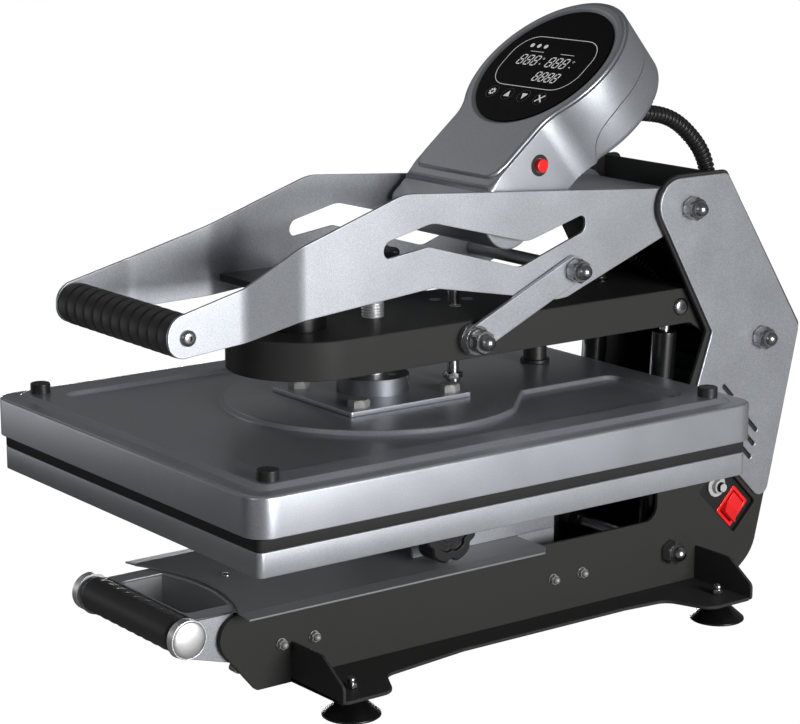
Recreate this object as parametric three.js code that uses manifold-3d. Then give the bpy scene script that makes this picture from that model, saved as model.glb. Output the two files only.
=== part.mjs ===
// An auto-open heat press. Millimetres, +Z up, and the user stands at -Y.
// Sizes are measured from the middle of the platens, and the whole press is then centred on its footprint.
import * as THREE from "three";
import { mergeVertices } from "three/addons/utils/BufferGeometryUtils.js";
import Module from "manifold-3d";

const wasm = await Module();
wasm.setup();

// Driving dimensions

const clear = 0.3; // gap between faces that touch
const boreClear = 0.5; // radial gap of a shaft in its bore
const overrun = 4; // how far a cutter passes what it cuts
const floor = 7; // height of the floor in these coordinates, where the lower platen's bottom is at 167

const platen = { width: 400, depth: 500, thick: 20, corner: 5, bottom: 167 };
const pad = { thick: 9.4 };
const heater = { thick: 14, elementWide: 12, elementHigh: 4, elementInset: 60 };
const insulation = { inset: 8 };

// How far behind the platens' rear edge each place at the back lies, and in front of it the gland
const rearEdge = platen.depth / 2;
const behind = {
  leverPivot: 44,
  armPivot: 136,
  springFoot: 31,
  springTop: 46,
  armRear: 59,
  frameRise: 15,
  frameWaist: 71,
  frameHeel: 137.5,
  frameSole: 116,
  flange: 66,
  foot: 46.5,
  coverFoot: 149,
  coverKnee: 49,
  coverWaist: 75,
  vents: [104, 136, 133, 129],
  panel: 73,
  shelf: 110,
  innerShelf: 92,
  pocket: 103,
  rocker: 112,
  breaker: 91.5,
  boardFront: 114,
  boardRear: 164,
  relay: 150,
  terminal: 152,
  sensorBox: 119,
  gland: -57,
};
const atRear = (name) => rearEdge + behind[name];

const arm = {
  half: 65,
  frontY: -72.5,
  low: 270.7,
  top: 303.5,
  roof: 3.5,
  wall: 4,
  rear: atRear("armRear"),
  ear: 20,
  earDrop: 8,
  boss: 20,
  bossDeep: 14,
  smallHole: 4,
  smallHoles: [
    [-27, 88],
    [-13, 113],
  ],
};
// Gaps beside the arm, the lever and the frames
const beside = {
  frame: 6,
  lever: 2,
  link: 6.2,
  flare: 18,
  neck: 7,
  springs: 18,
  drawer: 5,
  drawerLip: 13,
  web: 14,
  cap: 0.8,
  capEnd: 10.5,
  opening: 11,
  magnet: 59.5,
};

const leverPivot = { y: atRear("leverPivot"), z: 379 };
const armPivot = { y: atRear("armPivot"), z: 250 };
const springFoot = { y: atRear("springFoot"), z: 62 };
const springTop = { y: atRear("springTop"), z: 287, x: arm.half - beside.springs };

// How far in front of the lever's pivot each place on the lever and the links lies
const ahead = {
  leverLink: 133,
  armLink: 240,
  grip: 534,
  bridgeFront: 122,
  bridgeRear: 26,
  headFront: 221,
  headLobe: 145,
  headHeel: 122,
  headFoot: 294,
  button: 161,
  socket: 50.5,
};
const onLever = (name) => leverPivot.y - ahead[name];
const leverLink = { y: onLever("leverLink"), z: 337 };
const armLink = { y: onLever("armLink"), z: 288.5 };
const gripAxis = { y: onLever("grip"), z: 330.5 };
const flare = { front: 54, rear: 119 }; // how far behind the grip the lever plates' bends lie

const frame = {
  inner: arm.half + beside.frame,
  thick: 4,
  bottom: 26,
  foreTop: 94,
  noseY: -229,
  toeY: -172,
  noseRadius: 20,
  toeRadius: 6,
  riseY: atRear("frameRise"),
  riseRadius: 28,
  riseTop: 122,
  waistY: atRear("frameWaist"),
  waistZ: 263,
  lobeFront: 57,
  lobeRadius: 27,
  topMargin: 30,
  topRear: 46,
  rearMargin: 53.5,
  rearRise: 6,
  heelY: atRear("frameHeel"),
  heelZ: 43,
  heelRadius: 23,
  soleY: atRear("frameSole"),
};
const flange = {
  low: 27.2,
  thick: 3,
  front: -138,
  rear: atRear("flange"),
  out: 149,
  throat: 115,
  waist: 103.5,
  frontLobe: 50,
  frontThroat: 68,
  rearLobe: 52,
  rearThroat: 68,
  waistRun: 90,
  corner: 7,
  sweep: 16,
};
const gusset = { thick: 3, high: 35, flat: 45, lip: 16 };
const foot = {
  x: 123.5,
  frontY: -112,
  rearY: atRear("foot"),
  radius: 24.5,
  rim: 2,
  waist: 10,
  neck: 7,
  cone: 14,
  bellyShare: 0.5,
  bellyWidthShare: 0.62,
};
const footBolt = { radius: 4, across: 13, hex: 6.5, dome: 5.6 };

const cover = {
  thick: 2.5,
  topMargin: 27.5,
  lobeFront: 53.4,
  lobeRadius: 23.5,
  topRear: 45,
  topCorner: 8,
  rearMargin: 50.8,
  rearRise: 4,
  rearCorner: 12,
  footY: atRear("coverFoot"),
  footZ: 91,
  footCorner: 10,
  kneeY: atRear("coverKnee"),
  kneeZ: 186,
  waistY: atRear("coverWaist"),
  waistZ: 262,
  waistCorner: 4,
};
const vent = { width: 3.2, runs: [19, 26, 30, 30], endZ: [196.5, 160, 147, 135] };

const housing = {
  sheet: 2,
  panelY: atRear("panel"),
  panelLow: 356,
  panelTop: 408,
  shelfZ: 370,
  shelfRear: atRear("shelf"),
  inset: 4,
  panFront: -150,
  innerShelfZ: 195,
  innerShelfFront: atRear("innerShelf"),
};

const shaft = { radius: 6, sleeve: 9, collar: 12 };
const acorn = { across: 19, hex: 10, dome: 8.6, tip: 19 };
const smallNut = { across: 8, hex: 4, dome: 3.4, tip: 7.5, bolt: 2.5 };

const rail = {
  deep: 10,
  low: 50,
  high: 71,
  sheet: 2,
  front: -186,
  rear: 240,
  boltZ: 61.2,
  boltY: [-147.5, -115.2, 141.7, 174.8],
};
const drawer = {
  top: 98,
  sheet: 1.7,
  front: -193,
  rear: 122,
  half: frame.inner + frame.thick + beside.drawer,
  lipOut: frame.inner + frame.thick + beside.drawerLip,
  lipDrop: 6.5,
  scallopHalf: 64,
  scallopDeep: 30,
  webX: frame.inner - beside.web,
  runnerHigh: 5,
  chamfer: 4,
};
const handle = {
  y: -237.7,
  z: 84,
  foam: 14.6,
  core: 8,
  noseShare: 0.9,
  capRadius: 15.8,
  capInner: frame.inner + beside.cap,
  capOuter: frame.inner + beside.capEnd,
  capEdge: 1.6,
  flangeGap: 11.9,
  armLow: 52,
  armRear: -190,
  openHalf: frame.inner - beside.opening,
  openRear: -181,
  openSweep: 26,
  sheet: 2,
  flangeRear: -140,
  skirt: 22,
  waves: 9,
  wave: 0.5,
};

const pedestal = {
  half: 47,
  front: 8,
  rear: 166,
  wall: 3,
  plateHalf: 62,
  plateFront: -150,
  plateRear: 153,
  plateThick: 6,
  plateCorner: 8,
};
const clampKnob = {
  y: 22,
  z: 127,
  radius: 27,
  lobe: 2.6,
  lobes: 6,
  dish: 16.7,
  face: 84,
  back: 62,
  hub: 11,
  bolt: 5,
};

const shell = {
  overhang: 6.4,
  wall: 3,
  corner: 18,
  lift: 1.3,
  wallHigh: 33,
  edge: 2.5,
  stepInset: 14.5,
  stepRun: 4,
  stepRise: 4,
  recess: 3,
  recessX: 164,
  recessFront: -214,
  recessRear: 217,
  recessCorner: 14,
  disc: 127,
  strip: 64,
  roof: 2.4,
};
const plug = { radius: 8, high: 7, insetX: 23.4, insetY: 24.4 };
const mountPlate = {
  halfX: 59,
  halfY: 60,
  thick: 3.2,
  corner: 3,
  boltX: 45,
  boltY: 47,
  boltAcross: 13,
  boltHigh: 5.5,
};
const hub = { radius: 30, high: 15.5, floor: 3 };
const guide = { y: 89, radius: 5, thin: 3, step: 290, top: 316, across: 13, nutLow: 7, nutHigh: 6.5 };
const gland = { x: -15, y: atRear("gland"), radius: 8.5, flange: 12, flangeHigh: 4, top: 284, wall: 2 };

const magnet = { y: arm.frontY - arm.half + beside.magnet, radius: 25, top: 336, cap: 19, capHigh: 2 };
const screw = { radius: 10, top: 347, crest: 9.4 };
const screwKnob = { radius: 23, lobe: 2.4, lobes: 6, high: 15 };
const springPin = { radius: 5, head: 8, headHigh: 4 };

const spring = {
  body: 11.5,
  rod: 5,
  eye: 12.5,
  eyeWide: 12,
  neck: 5.8,
  bodyFrom: 16,
  bodyTo: 201,
  rodInside: 70,
  topEye: 13,
  topEyeWide: 9.6,
  openPivot: 3,
};

const lever = {
  sheet: 3,
  inner: arm.half + beside.lever,
  gripInner: arm.half + beside.lever + beside.flare,
  bendFront: gripAxis.y + flare.front,
  bendRear: gripAxis.y + flare.rear,
  height: 67,
  nose: 16.5,
  noseShare: 0.86,
  lobe: 24,
  lobeShare: 0.75,
};
const reach = { front: 33, rear: 32 }; // of the armature before and behind the magnet's axis
const armature = { front: magnet.y - reach.front, rear: magnet.y + reach.rear, low: 336.6, thick: 6 };
const bridge = { front: onLever("bridgeFront"), rear: onLever("bridgeRear"), thick: 3, drop: 3 };
const tie = { radius: 6, sleeve: 9, sleeveTo: -12 };
const link = { inner: arm.half + beside.link, thick: 4, radius: 12 };
const linkBolt = { washer: 12.5, washerThick: 1.5, collar: 13 };
const grip = {
  radius: 16.5,
  groove: 1.3,
  grooveWide: 1.6,
  rings: 12,
  rodRadius: 4,
  button: 6.5,
  buttonHigh: 4,
};

const head = {
  tilt: 39.87,
  radius: 82,
  centre: 466.2,
  plane: 269.2,
  deep: 60,
  wall: 3,
  neckHalf: lever.inner - beside.neck,
  neckTop: 412,
  neckLow: 322,
  seam: 33,
  seamPoints: [
    [462, 33],
    [446, 35.5],
    [436, 39],
    [429, 44.5],
    [424, 52],
    [419, 66],
  ],
  edge: 5,
  glass: 69.2,
  glassThick: 2,
  glassSunk: 0.8,
  frontY: onLever("headFront"),
  lobeY: onLever("headLobe"),
  lobeZ: 368,
  lobeRadius: 19,
  lobeReach: 30,
  lobeRise: 9.5,
  heelY: onLever("headHeel"),
};
const releaseButton = { y: onLever("button"), z: 428.4, radius: 5.7, proud: 3.4, long: 12 };
const hoseSocket = { x: 45, y: onLever("socket"), z: 463.4, radius: 10.5, long: 20 };

const pocket = { y: atRear("pocket"), z: 101, long: 65, wide: 37.5, corner: 3 };
const rocker = {
  y: atRear("rocker"),
  z: 90,
  long: 31,
  wide: 26,
  rim: 3,
  proud: 3,
  depth: 24,
  root: 7.2,
  rootShare: 0.62,
  bulge: 7,
  crestShare: 0.96,
  dipShare: 0.32,
  lowShare: 0.2,
};
const breaker = { y: atRear("breaker"), z: 113, flange: 10.6, body: 6, depth: 22, button: 4.2, proud: 11 };
const inlet = { z: 120, wide: 30, high: 24, proud: 3, bodyWide: 24, bodyHigh: 18, deep: 20, socket: 14 };
const board = { front: atRear("boardFront"), rear: atRear("boardRear"), half: 52, thick: 1.8 };
const relay = { x: -30, y: atRear("relay"), wide: 30, deep: 18, high: 20 };
const terminal = { x: 26, y: atRear("terminal"), wide: 40, deep: 14, high: 12 };
const sensorBox = { x: 0, y: atRear("sensorBox"), wide: 34, deep: 8, high: 12 };

// Ribbed hoses: outer and bore radius, the depth of a groove, the pitch of the ribs, and the route
const controlHose = {
  radius: 7.5,
  groove: 1.2,
  bore: 4.6,
  pitch: 4.9,
  route: [
    [45, 243.5, 463.4],
    [45, 251, 463.4],
    [45, 259, 463.2],
    [45, 273, 461.5],
    [45, 286, 459],
    [45, 297, 455.2],
    [45, 308, 449.3],
    [45, 320, 440],
    [45, 331, 429],
    [45, 339, 417],
    [45, 344, 403],
    [45, 345.5, 386],
    [45, 345.5, 370.3],
  ],
};
const heaterHose = {
  radius: 6,
  groove: 1,
  bore: 3.6,
  pitch: 4.8,
  route: [
    [-9, 264, 303.8],
    [-9, 264, 310],
    [-9, 265, 316],
    [-9, 271, 324],
    [-9, 282, 327.5],
    [-9, 296, 325],
    [-9, 312, 316.5],
    [-9, 327, 306],
    [-9, 340, 293],
    [-9, 349, 276],
    [-9, 352, 257],
    [-9, 352, 236],
    [-9, 352, 215],
    [-9, 352, 195.3],
  ],
};

// Facets
const roundSteps = 12;
const bigRoundSteps = 36;
const wideRoundSteps = 20;
const smallRoundSteps = 8;
const gripSteps = 10;
const nutSteps = 10;
const endSteps = 8;
const armSteps = 16;
const lobeSteps = 4;
const cornerSteps = 2;
const domeShares = [0, 0.4, 0.7]; // of the quarter turn over a nut's dome
const smallDomeShares = [0, 0.6];
const buttonShares = { edge: 0.45, top: 0.5 }; // where a button head's edge ends, and its top's radius
const halfEdgeShare = 0.49; // the most of an edge that one rounded corner takes
const hoseSides = 8;
const ribsPerBoreRing = 5;
const arcSteps = 400;
const weld = 1e-4;

// Sizes that follow from the ones above

const frameOuter = frame.inner + frame.thick;
const coverInner = frameOuter + clear;
const coverOuter = coverInner + cover.thick;
const padLow = platen.bottom + platen.thick + clear;
const padTop = padLow + pad.thick;
const hotLow = padTop + clear;
const coverLow = hotLow + shell.lift;
const lipTop = coverLow + shell.wallHigh;
const landTop = lipTop + shell.stepRise;
const recessLow = landTop - shell.recess;
const roofLow = recessLow - shell.roof;
const plateTop = landTop + clear + mountPlate.thick;
const hubTop = plateTop + hub.high;
const leverOuter = lever.inner + lever.sheet;
const gripOuter = lever.gripInner + lever.sheet;
const linkOuter = link.inner + link.thick;
const frameRear = armPivot.y + frame.rearMargin;
const pressFront = gripAxis.y - lever.nose;
const middleY = (frameRear + pressFront) / 2;
const tilt = (head.tilt * Math.PI) / 180;

// Materials

const finish = (color, roughness, metalness) =>
  new THREE.MeshStandardMaterial({ color, roughness, metalness, flatShading: true });
const silverPaint = finish(0xb8bcc4, 0.42, 0.35);
const blackPaint = finish(0x242424, 0.55, 0.1);
const platenMetal = finish(0xa9adb4, 0.4, 0.6);
const coverPaint = finish(0x8f949b, 0.42, 0.4);
const drawerPaint = finish(0x4b4e52, 0.5, 0.2);
const chrome = finish(0xd0d2d6, 0.15, 1);
const steel = finish(0xa6a8ac, 0.35, 0.9);
const darkSteel = finish(0x2b2c2e, 0.35, 0.7);
const rubber = finish(0x141414, 0.85, 0);
const siliconeRubber = finish(0x2c2b2b, 0.8, 0);
const blackPlastic = finish(0x1a1a1b, 0.4, 0);
const redPlastic = finish(0xe52424, 0.35, 0);
const greyPlastic = finish(0xc9cacb, 0.45, 0);
const glass = finish(0x050506, 0.08, 0);
const wool = finish(0xd8d2c4, 0.95, 0);
const circuit = finish(0x1f5a34, 0.5, 0);

// Solids: closed three.js geometries, and joins and cuts of them

function solid(geometry) {
  const bare = geometry.index ? geometry.toNonIndexed() : geometry.clone();
  bare.deleteAttribute("normal");
  bare.deleteAttribute("uv");
  const merged = mergeVertices(bare, weld);
  const source = merged.index.array;
  const kept = [];
  for (let i = 0; i < source.length; i += 3) {
    const [a, b, c] = source.slice(i, i + 3);
    if (a !== b && b !== c && c !== a) kept.push(a, b, c);
  }
  const build = (triVerts) =>
    new wasm.Manifold(
      new wasm.Mesh({
        numProp: 3,
        vertProperties: new Float32Array(merged.attributes.position.array),
        triVerts: new Uint32Array(triVerts),
      }),
    );
  const made = build(kept);
  return made.volume() > 0 ? made : build(kept.reverse());
}

function join(...parts) {
  return parts.reduce((whole, next) => whole.add(next));
}

function cut(whole, ...cutters) {
  return cutters.reduce((rest, cutter) => rest.subtract(cutter), whole);
}

function geometryOf(body) {
  const mesh = body.getMesh();
  const count = mesh.numProp;
  const points = new Float32Array(mesh.numVert * 3);
  for (let i = 0; i < mesh.numVert; i++) {
    points.set(mesh.vertProperties.subarray(i * count, i * count + 3), i * 3);
  }
  const geometry = new THREE.BufferGeometry();
  geometry.setAttribute("position", new THREE.BufferAttribute(points, 3));
  geometry.setIndex(new THREE.BufferAttribute(new Uint32Array(mesh.triVerts), 1));
  geometry.computeVertexNormals();
  return geometry;
}

const press = new THREE.Group();
press.position.set(0, -middleY, -floor);

function group(y = 0, z = 0) {
  const made = new THREE.Group();
  made.position.set(0, y, z);
  press.add(made);
  return made;
}

const standing = group();

function place(name, body, material, holder = standing, position = [0, 0, 0]) {
  const mesh = new THREE.Mesh(geometryOf(body), material);
  mesh.name = name;
  mesh.position.set(...position);
  holder.add(mesh);
  return mesh;
}

// Outlines: corners are [a, b, radius], and a missing radius is a sharp corner

function rounded(corners, steps = cornerSteps) {
  const points = [];
  corners.forEach(([a, b, radius = 0], i) => {
    const here = new THREE.Vector2(a, b);
    const before = corners[(i + corners.length - 1) % corners.length];
    const after = corners[(i + 1) % corners.length];
    const back = new THREE.Vector2(before[0], before[1]).sub(here);
    const on = new THREE.Vector2(after[0], after[1]).sub(here);
    const reach = Math.min(back.length(), on.length()) * halfEdgeShare;
    back.normalize();
    on.normalize();
    const half = Math.acos(Math.max(-1, Math.min(1, back.dot(on)))) / 2;
    const run = Math.min(radius / Math.tan(half), reach);
    if (radius === 0 || run < weld) {
      points.push(here);
      return;
    }
    const size = run * Math.tan(half);
    const middle = back.clone().add(on).normalize().multiplyScalar(size / Math.sin(half)).add(here);
    const start = here.clone().addScaledVector(back, run).sub(middle);
    const end = here.clone().addScaledVector(on, run).sub(middle);
    const turn = Math.atan2(start.cross(end), start.dot(end));
    for (let k = 0; k <= steps; k++) {
      points.push(start.clone().rotateAround(new THREE.Vector2(), (turn * k) / steps).add(middle));
    }
  });
  return points;
}

function circle(a, b, radius, steps = roundSteps) {
  return Array.from({ length: steps }, (_, i) => {
    const angle = ((i + 0.5) / steps) * Math.PI * 2;
    return new THREE.Vector2(a + radius * Math.cos(angle), b + radius * Math.sin(angle));
  });
}

function lobed(radius, lobe, lobes) {
  const count = lobes * lobeSteps;
  return Array.from({ length: count }, (_, i) => {
    const angle = (i / count) * Math.PI * 2;
    const size = radius - lobe + lobe * Math.cos(angle * lobes);
    return new THREE.Vector2(size * Math.cos(angle), size * Math.sin(angle));
  });
}

function rectangle(a0, a1, b0, b1, radius) {
  return [
    [a0, b0, radius],
    [a1, b0, radius],
    [a1, b1, radius],
    [a0, b1, radius],
  ];
}

const box = (a0, a1, b0, b1, radius = 0) => rounded(rectangle(a0, a1, b0, b1, radius));

// A slab of an outline, between two places on one axis
function slab(points, from, to, basis) {
  const geometry = new THREE.ExtrudeGeometry(new THREE.Shape(points), {
    depth: Math.abs(to - from),
    bevelEnabled: false,
    steps: 1,
  });
  geometry.translate(0, 0, Math.min(from, to));
  geometry.applyMatrix4(basis);
  return solid(geometry);
}

const axisX = new THREE.Vector3(1, 0, 0);
const axisY = new THREE.Vector3(0, 1, 0);
const axisZ = new THREE.Vector3(0, 0, 1);
const basisX = new THREE.Matrix4().makeBasis(axisY, axisZ, axisX);
const basisY = new THREE.Matrix4().makeBasis(axisX, axisZ, axisY);
const basisZ = new THREE.Matrix4();

const alongX = (points, from, to) => slab(points, from, to, basisX); // outline in Y and Z
const alongY = (points, from, to) => slab(points, from, to, basisY); // outline in X and Z
const alongZ = (points, from, to) => slab(points, from, to, basisZ); // outline in X and Y

const rodX = (radius, from, to, y = 0, z = 0, steps = roundSteps) =>
  alongX(circle(y, z, radius, steps), from, to);
const rodZ = (radius, from, to, x = 0, y = 0, steps = roundSteps) =>
  alongZ(circle(x, y, radius, steps), from, to);

// A turned piece: rows of [place on the axis, radius], from one end to the other
function turned(rows, steps = roundSteps) {
  const points = [[rows[0][0], 0], ...rows, [rows[rows.length - 1][0], 0]];
  const profile = points.map(([place, radius]) => new THREE.Vector2(radius, place));
  return new THREE.LatheGeometry(profile, steps);
}
const turnedX = (rows, y = 0, z = 0, steps = roundSteps) =>
  solid(turned(rows, steps).rotateZ(-Math.PI / 2).translate(0, y, z));
const turnedZ = (rows, x = 0, y = 0, steps = roundSteps) =>
  solid(turned(rows, steps).rotateX(Math.PI / 2).translate(x, y, 0));

// Rows of a dome that starts at the given place and points to the given side
function domeRows(from, side, radius, shares = domeShares) {
  return shares.map((share) => {
    const angle = (share * Math.PI) / 2;
    return [from + side * radius * Math.sin(angle), radius * Math.cos(angle)];
  });
}

// Rows of a button head: a straight edge and a smaller top
function buttonRows(from, side, radius, high) {
  return [
    [from, radius],
    [from + side * high * buttonShares.edge, radius],
    [from + side * high, radius * buttonShares.top],
  ];
}

// An acorn nut on an X axis: a hexagon and a dome
function acornX(from, side, y, z, nut, steps = nutSteps, shares = domeShares) {
  const domeFrom = from + side * (nut.tip - nut.dome);
  const rows = [[from + (side * nut.hex) / 2, nut.dome], ...domeRows(domeFrom, side, nut.dome, shares)];
  const hexagon = alongX(circle(y, z, nut.across / Math.sqrt(3), 6), from, from + side * nut.hex);
  return join(hexagon, turnedX(rows, y, z, steps));
}

const hexZ = (across, from, to, x, y) => alongZ(circle(x, y, across / Math.sqrt(3), 6), from, to);

const sides = { right: 1, left: -1 };
const bothSides = (make) => Object.entries(sides).forEach(([name, side]) => make(name, side));

// Side frames: one folded plate each, with a foot flange and a gusset at each end of it

const frameOutline = rounded([
  [frame.toeY, frame.bottom, frame.toeRadius],
  [frame.noseY, frame.foreTop, frame.noseRadius],
  [frame.riseY, frame.foreTop, frame.riseRadius],
  [frame.riseY, frame.riseTop, frame.riseRadius],
  [frame.waistY, frame.waistZ, frame.toeRadius],
  [leverPivot.y - frame.lobeFront, leverPivot.z + frame.topMargin, frame.lobeRadius],
  [leverPivot.y + frame.topRear, leverPivot.z + frame.topMargin, frame.toeRadius],
  [frameRear, armPivot.z + frame.rearRise, frame.toeRadius],
  [frame.heelY, frame.heelZ, frame.heelRadius],
  [frame.soleY, frame.bottom, frame.toeRadius],
]);

function flangeOutline(side) {
  const frontThroat = flange.front + flange.frontThroat;
  const rearThroat = flange.rear - flange.rearThroat;
  return rounded(
    [
      [frame.inner, flange.front, 0],
      [flange.out, flange.front, flange.corner],
      [flange.out, flange.front + flange.frontLobe, flange.sweep],
      [flange.throat, frontThroat, flange.sweep],
      [flange.waist, frontThroat + flange.waistRun, flange.sweep * 2],
      [flange.waist, rearThroat - flange.waistRun / 2, flange.sweep * 2],
      [flange.throat - flange.corner, rearThroat, flange.sweep],
      [flange.out, flange.rear - flange.rearLobe, flange.sweep],
      [flange.out, flange.rear, flange.corner],
      [frame.inner, flange.rear, 0],
    ].map(([x, y, radius]) => [x * side, y, radius]),
  );
}

function gussetOutline(side) {
  const top = frame.bottom + gusset.high;
  return rounded(
    [
      [frame.inner, frame.bottom, 0],
      [flange.out, flange.low, flange.corner / 2],
      [flange.out, frame.bottom + gusset.lip, flange.corner],
      [frameOuter + gusset.flat, top, flange.corner],
      [frame.inner, top, 0],
    ].map(([x, z, radius]) => [x * side, z, radius]),
  );
}

// A rectangle turned by 45 degrees, as [y, z] points
function diamond(y, z, long, wide, radius = 0, steps = cornerSteps) {
  const half = rounded(rectangle(-long / 2, long / 2, -wide / 2, wide / 2, radius), steps);
  const middle = new THREE.Vector2(y, z);
  return half.map((point) => point.rotateAround(new THREE.Vector2(), -Math.PI / 4).add(middle));
}

function makeFrame(name, side) {
  const inner = frame.inner * side;
  const outer = frameOuter * side;
  const past = overrun * side;
  const plate = alongX(frameOutline, inner, outer);
  const sole = alongZ(flangeOutline(side), flange.low, flange.low + flange.thick);
  const front = alongY(gussetOutline(side), flange.front, flange.front + gusset.thick);
  const rear = alongY(gussetOutline(side), flange.rear - gusset.thick, flange.rear);
  const bore = (radius, y, z, steps) => rodX(radius, inner - past, outer + past, y, z, steps);
  const cutters = [leverPivot, armPivot, springFoot].map(({ y, z }) => bore(shaft.radius + boreClear, y, z));
  rail.boltY.forEach((y) => cutters.push(bore(smallNut.bolt + boreClear, y, rail.boltZ, smallRoundSteps)));
  const soleLow = frame.bottom - overrun;
  const soleTop = flange.low + flange.thick + overrun;
  [foot.frontY, foot.rearY].forEach((y) =>
    cutters.push(rodZ(footBolt.radius + boreClear, soleLow, soleTop, foot.x * side, y, smallRoundSteps)),
  );
  if (side === sides.right) {
    const hole = diamond(pocket.y, pocket.z, pocket.long, pocket.wide, pocket.corner);
    cutters.push(alongX(hole, inner - past, outer + past));
  }
  place(`frame_${name}`, cut(join(plate, sole, front, rear), ...cutters), blackPaint);
}
bothSides(makeFrame);

// Side covers: silver sheets outside the frames, with slanted vents

const coverOutline = rounded([
  [leverPivot.y - cover.lobeFront, leverPivot.z + cover.topMargin, cover.lobeRadius],
  [leverPivot.y + cover.topRear, leverPivot.z + cover.topMargin, cover.topCorner],
  [armPivot.y + cover.rearMargin, armPivot.z + cover.rearRise, cover.rearCorner],
  [cover.footY, cover.footZ, cover.footCorner],
  [cover.kneeY, cover.kneeZ, cover.waistCorner],
  [cover.waistY, cover.waistZ, cover.waistCorner],
]);

function ventOutline(i) {
  const run = vent.runs[i];
  const shift = run / 2 / Math.SQRT2;
  return diamond(rearEdge + behind.vents[i] - shift, vent.endZ[i] + shift, run, vent.width, vent.width / 2, 1);
}

function makeCover(name, side) {
  const from = coverInner * side;
  const to = coverOuter * side;
  const past = overrun * side;
  const cutters = [leverPivot, armPivot].map(({ y, z }) =>
    rodX(shaft.radius + boreClear, from - past, to + past, y, z),
  );
  vent.runs.forEach((_, i) => cutters.push(alongX(ventOutline(i), from - past, to + past)));
  place(`side_cover_${name}`, cut(alongX(coverOutline, from, to), ...cutters), silverPaint);
}
bothSides(makeCover);

// Rear housing: one bent sheet between the frames, from the cross panel down the back and along the bottom

const backTop = [housing.shelfRear, housing.shelfZ];
const backBend = [frameRear - housing.inset, armPivot.z + frame.rearRise];
const backHeel = [frame.heelY - housing.inset, frame.heelZ + housing.inset];
const panZ = flange.low + flange.thick;
const panRear = frame.soleY - housing.inset;

// A bent sheet: a path of [a, b] points and the same path moved by the sheet's thickness
function bentSheet(path, thick) {
  const moved = path.map(([a, b], i) => {
    const edges = [path[i - 1], path[i + 1]].map((other, k) => {
      if (!other) return null;
      const along = k === 0 ? [a - other[0], b - other[1]] : [other[0] - a, other[1] - b];
      const long = Math.hypot(...along);
      return [-along[1] / long, along[0] / long];
    });
    const known = edges.filter(Boolean);
    const sum = known.reduce(([p, q], [r, s]) => [p + r, q + s], [0, 0]);
    const size = Math.hypot(...sum);
    const unit = [sum[0] / size, sum[1] / size];
    const share = unit[0] * known[0][0] + unit[1] * known[0][1];
    return [a + (unit[0] * thick) / share, b + (unit[1] * thick) / share];
  });
  return [...path, ...moved.reverse()].map(([a, b]) => new THREE.Vector2(a, b));
}

function makeHousing() {
  const half = frame.inner - clear;
  const back = bentSheet(
    [
      [housing.panFront, panZ],
      [panRear, panZ],
      backHeel,
      backBend,
      backTop,
      [housing.panelY, housing.shelfZ],
    ],
    housing.sheet,
  );
  const panel = box(housing.panelY, housing.panelY + housing.sheet, housing.panelLow, housing.panelTop);
  const shelfRise = (housing.innerShelfZ - backHeel[1]) / (backBend[1] - backHeel[1]);
  const shelfRear = backHeel[0] + (backBend[0] - backHeel[0]) * shelfRise;
  const shelf = box(
    housing.innerShelfFront,
    shelfRear - housing.sheet / 2,
    housing.innerShelfZ - housing.sheet,
    housing.innerShelfZ,
  );
  const parts = [back, panel, shelf].map((outline) => alongX(outline, -half, half));
  const hosePort = rodZ(
    controlHose.bore + clear,
    housing.shelfZ - housing.sheet - overrun,
    housing.shelfZ + overrun,
    controlHose.route.at(-1)[0],
    controlHose.route.at(-1)[1],
  );
  const heaterPort = rodZ(
    heaterHose.bore,
    housing.innerShelfZ - housing.sheet - overrun,
    housing.innerShelfZ + overrun,
    heaterHose.route.at(-1)[0],
    heaterHose.route.at(-1)[1],
  );
  const hole = clear * 2;
  const socketHole = inletBlock(inlet.bodyWide + hole, inlet.bodyHigh + hole, -inlet.deep, inlet.proud);
  place("rear_housing", cut(join(...parts), hosePort, heaterPort, socketHole), blackPaint);
}

// A block on the slanted back wall, in the wall's own directions: across, up the wall, and out of it
function inletBlock(wide, high, from, to, lift = 0) {
  const run = [backBend[0] - backHeel[0], backBend[1] - backHeel[1]];
  const lean = Math.atan2(run[0], run[1]);
  const y = backHeel[0] + (run[0] * (inlet.z - backHeel[1])) / run[1];
  const geometry = new THREE.BoxGeometry(wide, to - from, high);
  geometry.translate(0, (to + from) / 2, lift);
  geometry.rotateX(-lean);
  geometry.translate(0, y, inlet.z);
  return solid(geometry);
}

makeHousing();

place(
  "power_inlet",
  cut(
    join(
      inletBlock(inlet.wide, inlet.high, clear, inlet.proud),
      inletBlock(inlet.bodyWide, inlet.bodyHigh, -inlet.deep, inlet.proud),
    ),
    inletBlock(
      inlet.bodyWide - inlet.proud * 2,
      inlet.bodyHigh - inlet.proud * 2,
      -inlet.socket,
      inlet.proud + overrun,
    ),
  ),
  blackPlastic,
);

// Control board on the inner shelf, with its relay, terminals and a small driver block

function blockZ({ x, y, wide, deep, high }, from) {
  return alongZ(box(x - wide / 2, x + wide / 2, y - deep / 2, y + deep / 2), from, from + high);
}
const boardLow = housing.innerShelfZ + clear;
place(
  "control_board",
  join(
    alongZ(box(-board.half, board.half, board.front, board.rear), boardLow, boardLow + board.thick),
    blockZ(relay, boardLow),
    blockZ(terminal, boardLow),
    blockZ(sensorBox, boardLow),
  ),
  circuit,
);

// Feet: a rubber cone, its stem through the flange and an acorn nut above

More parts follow.
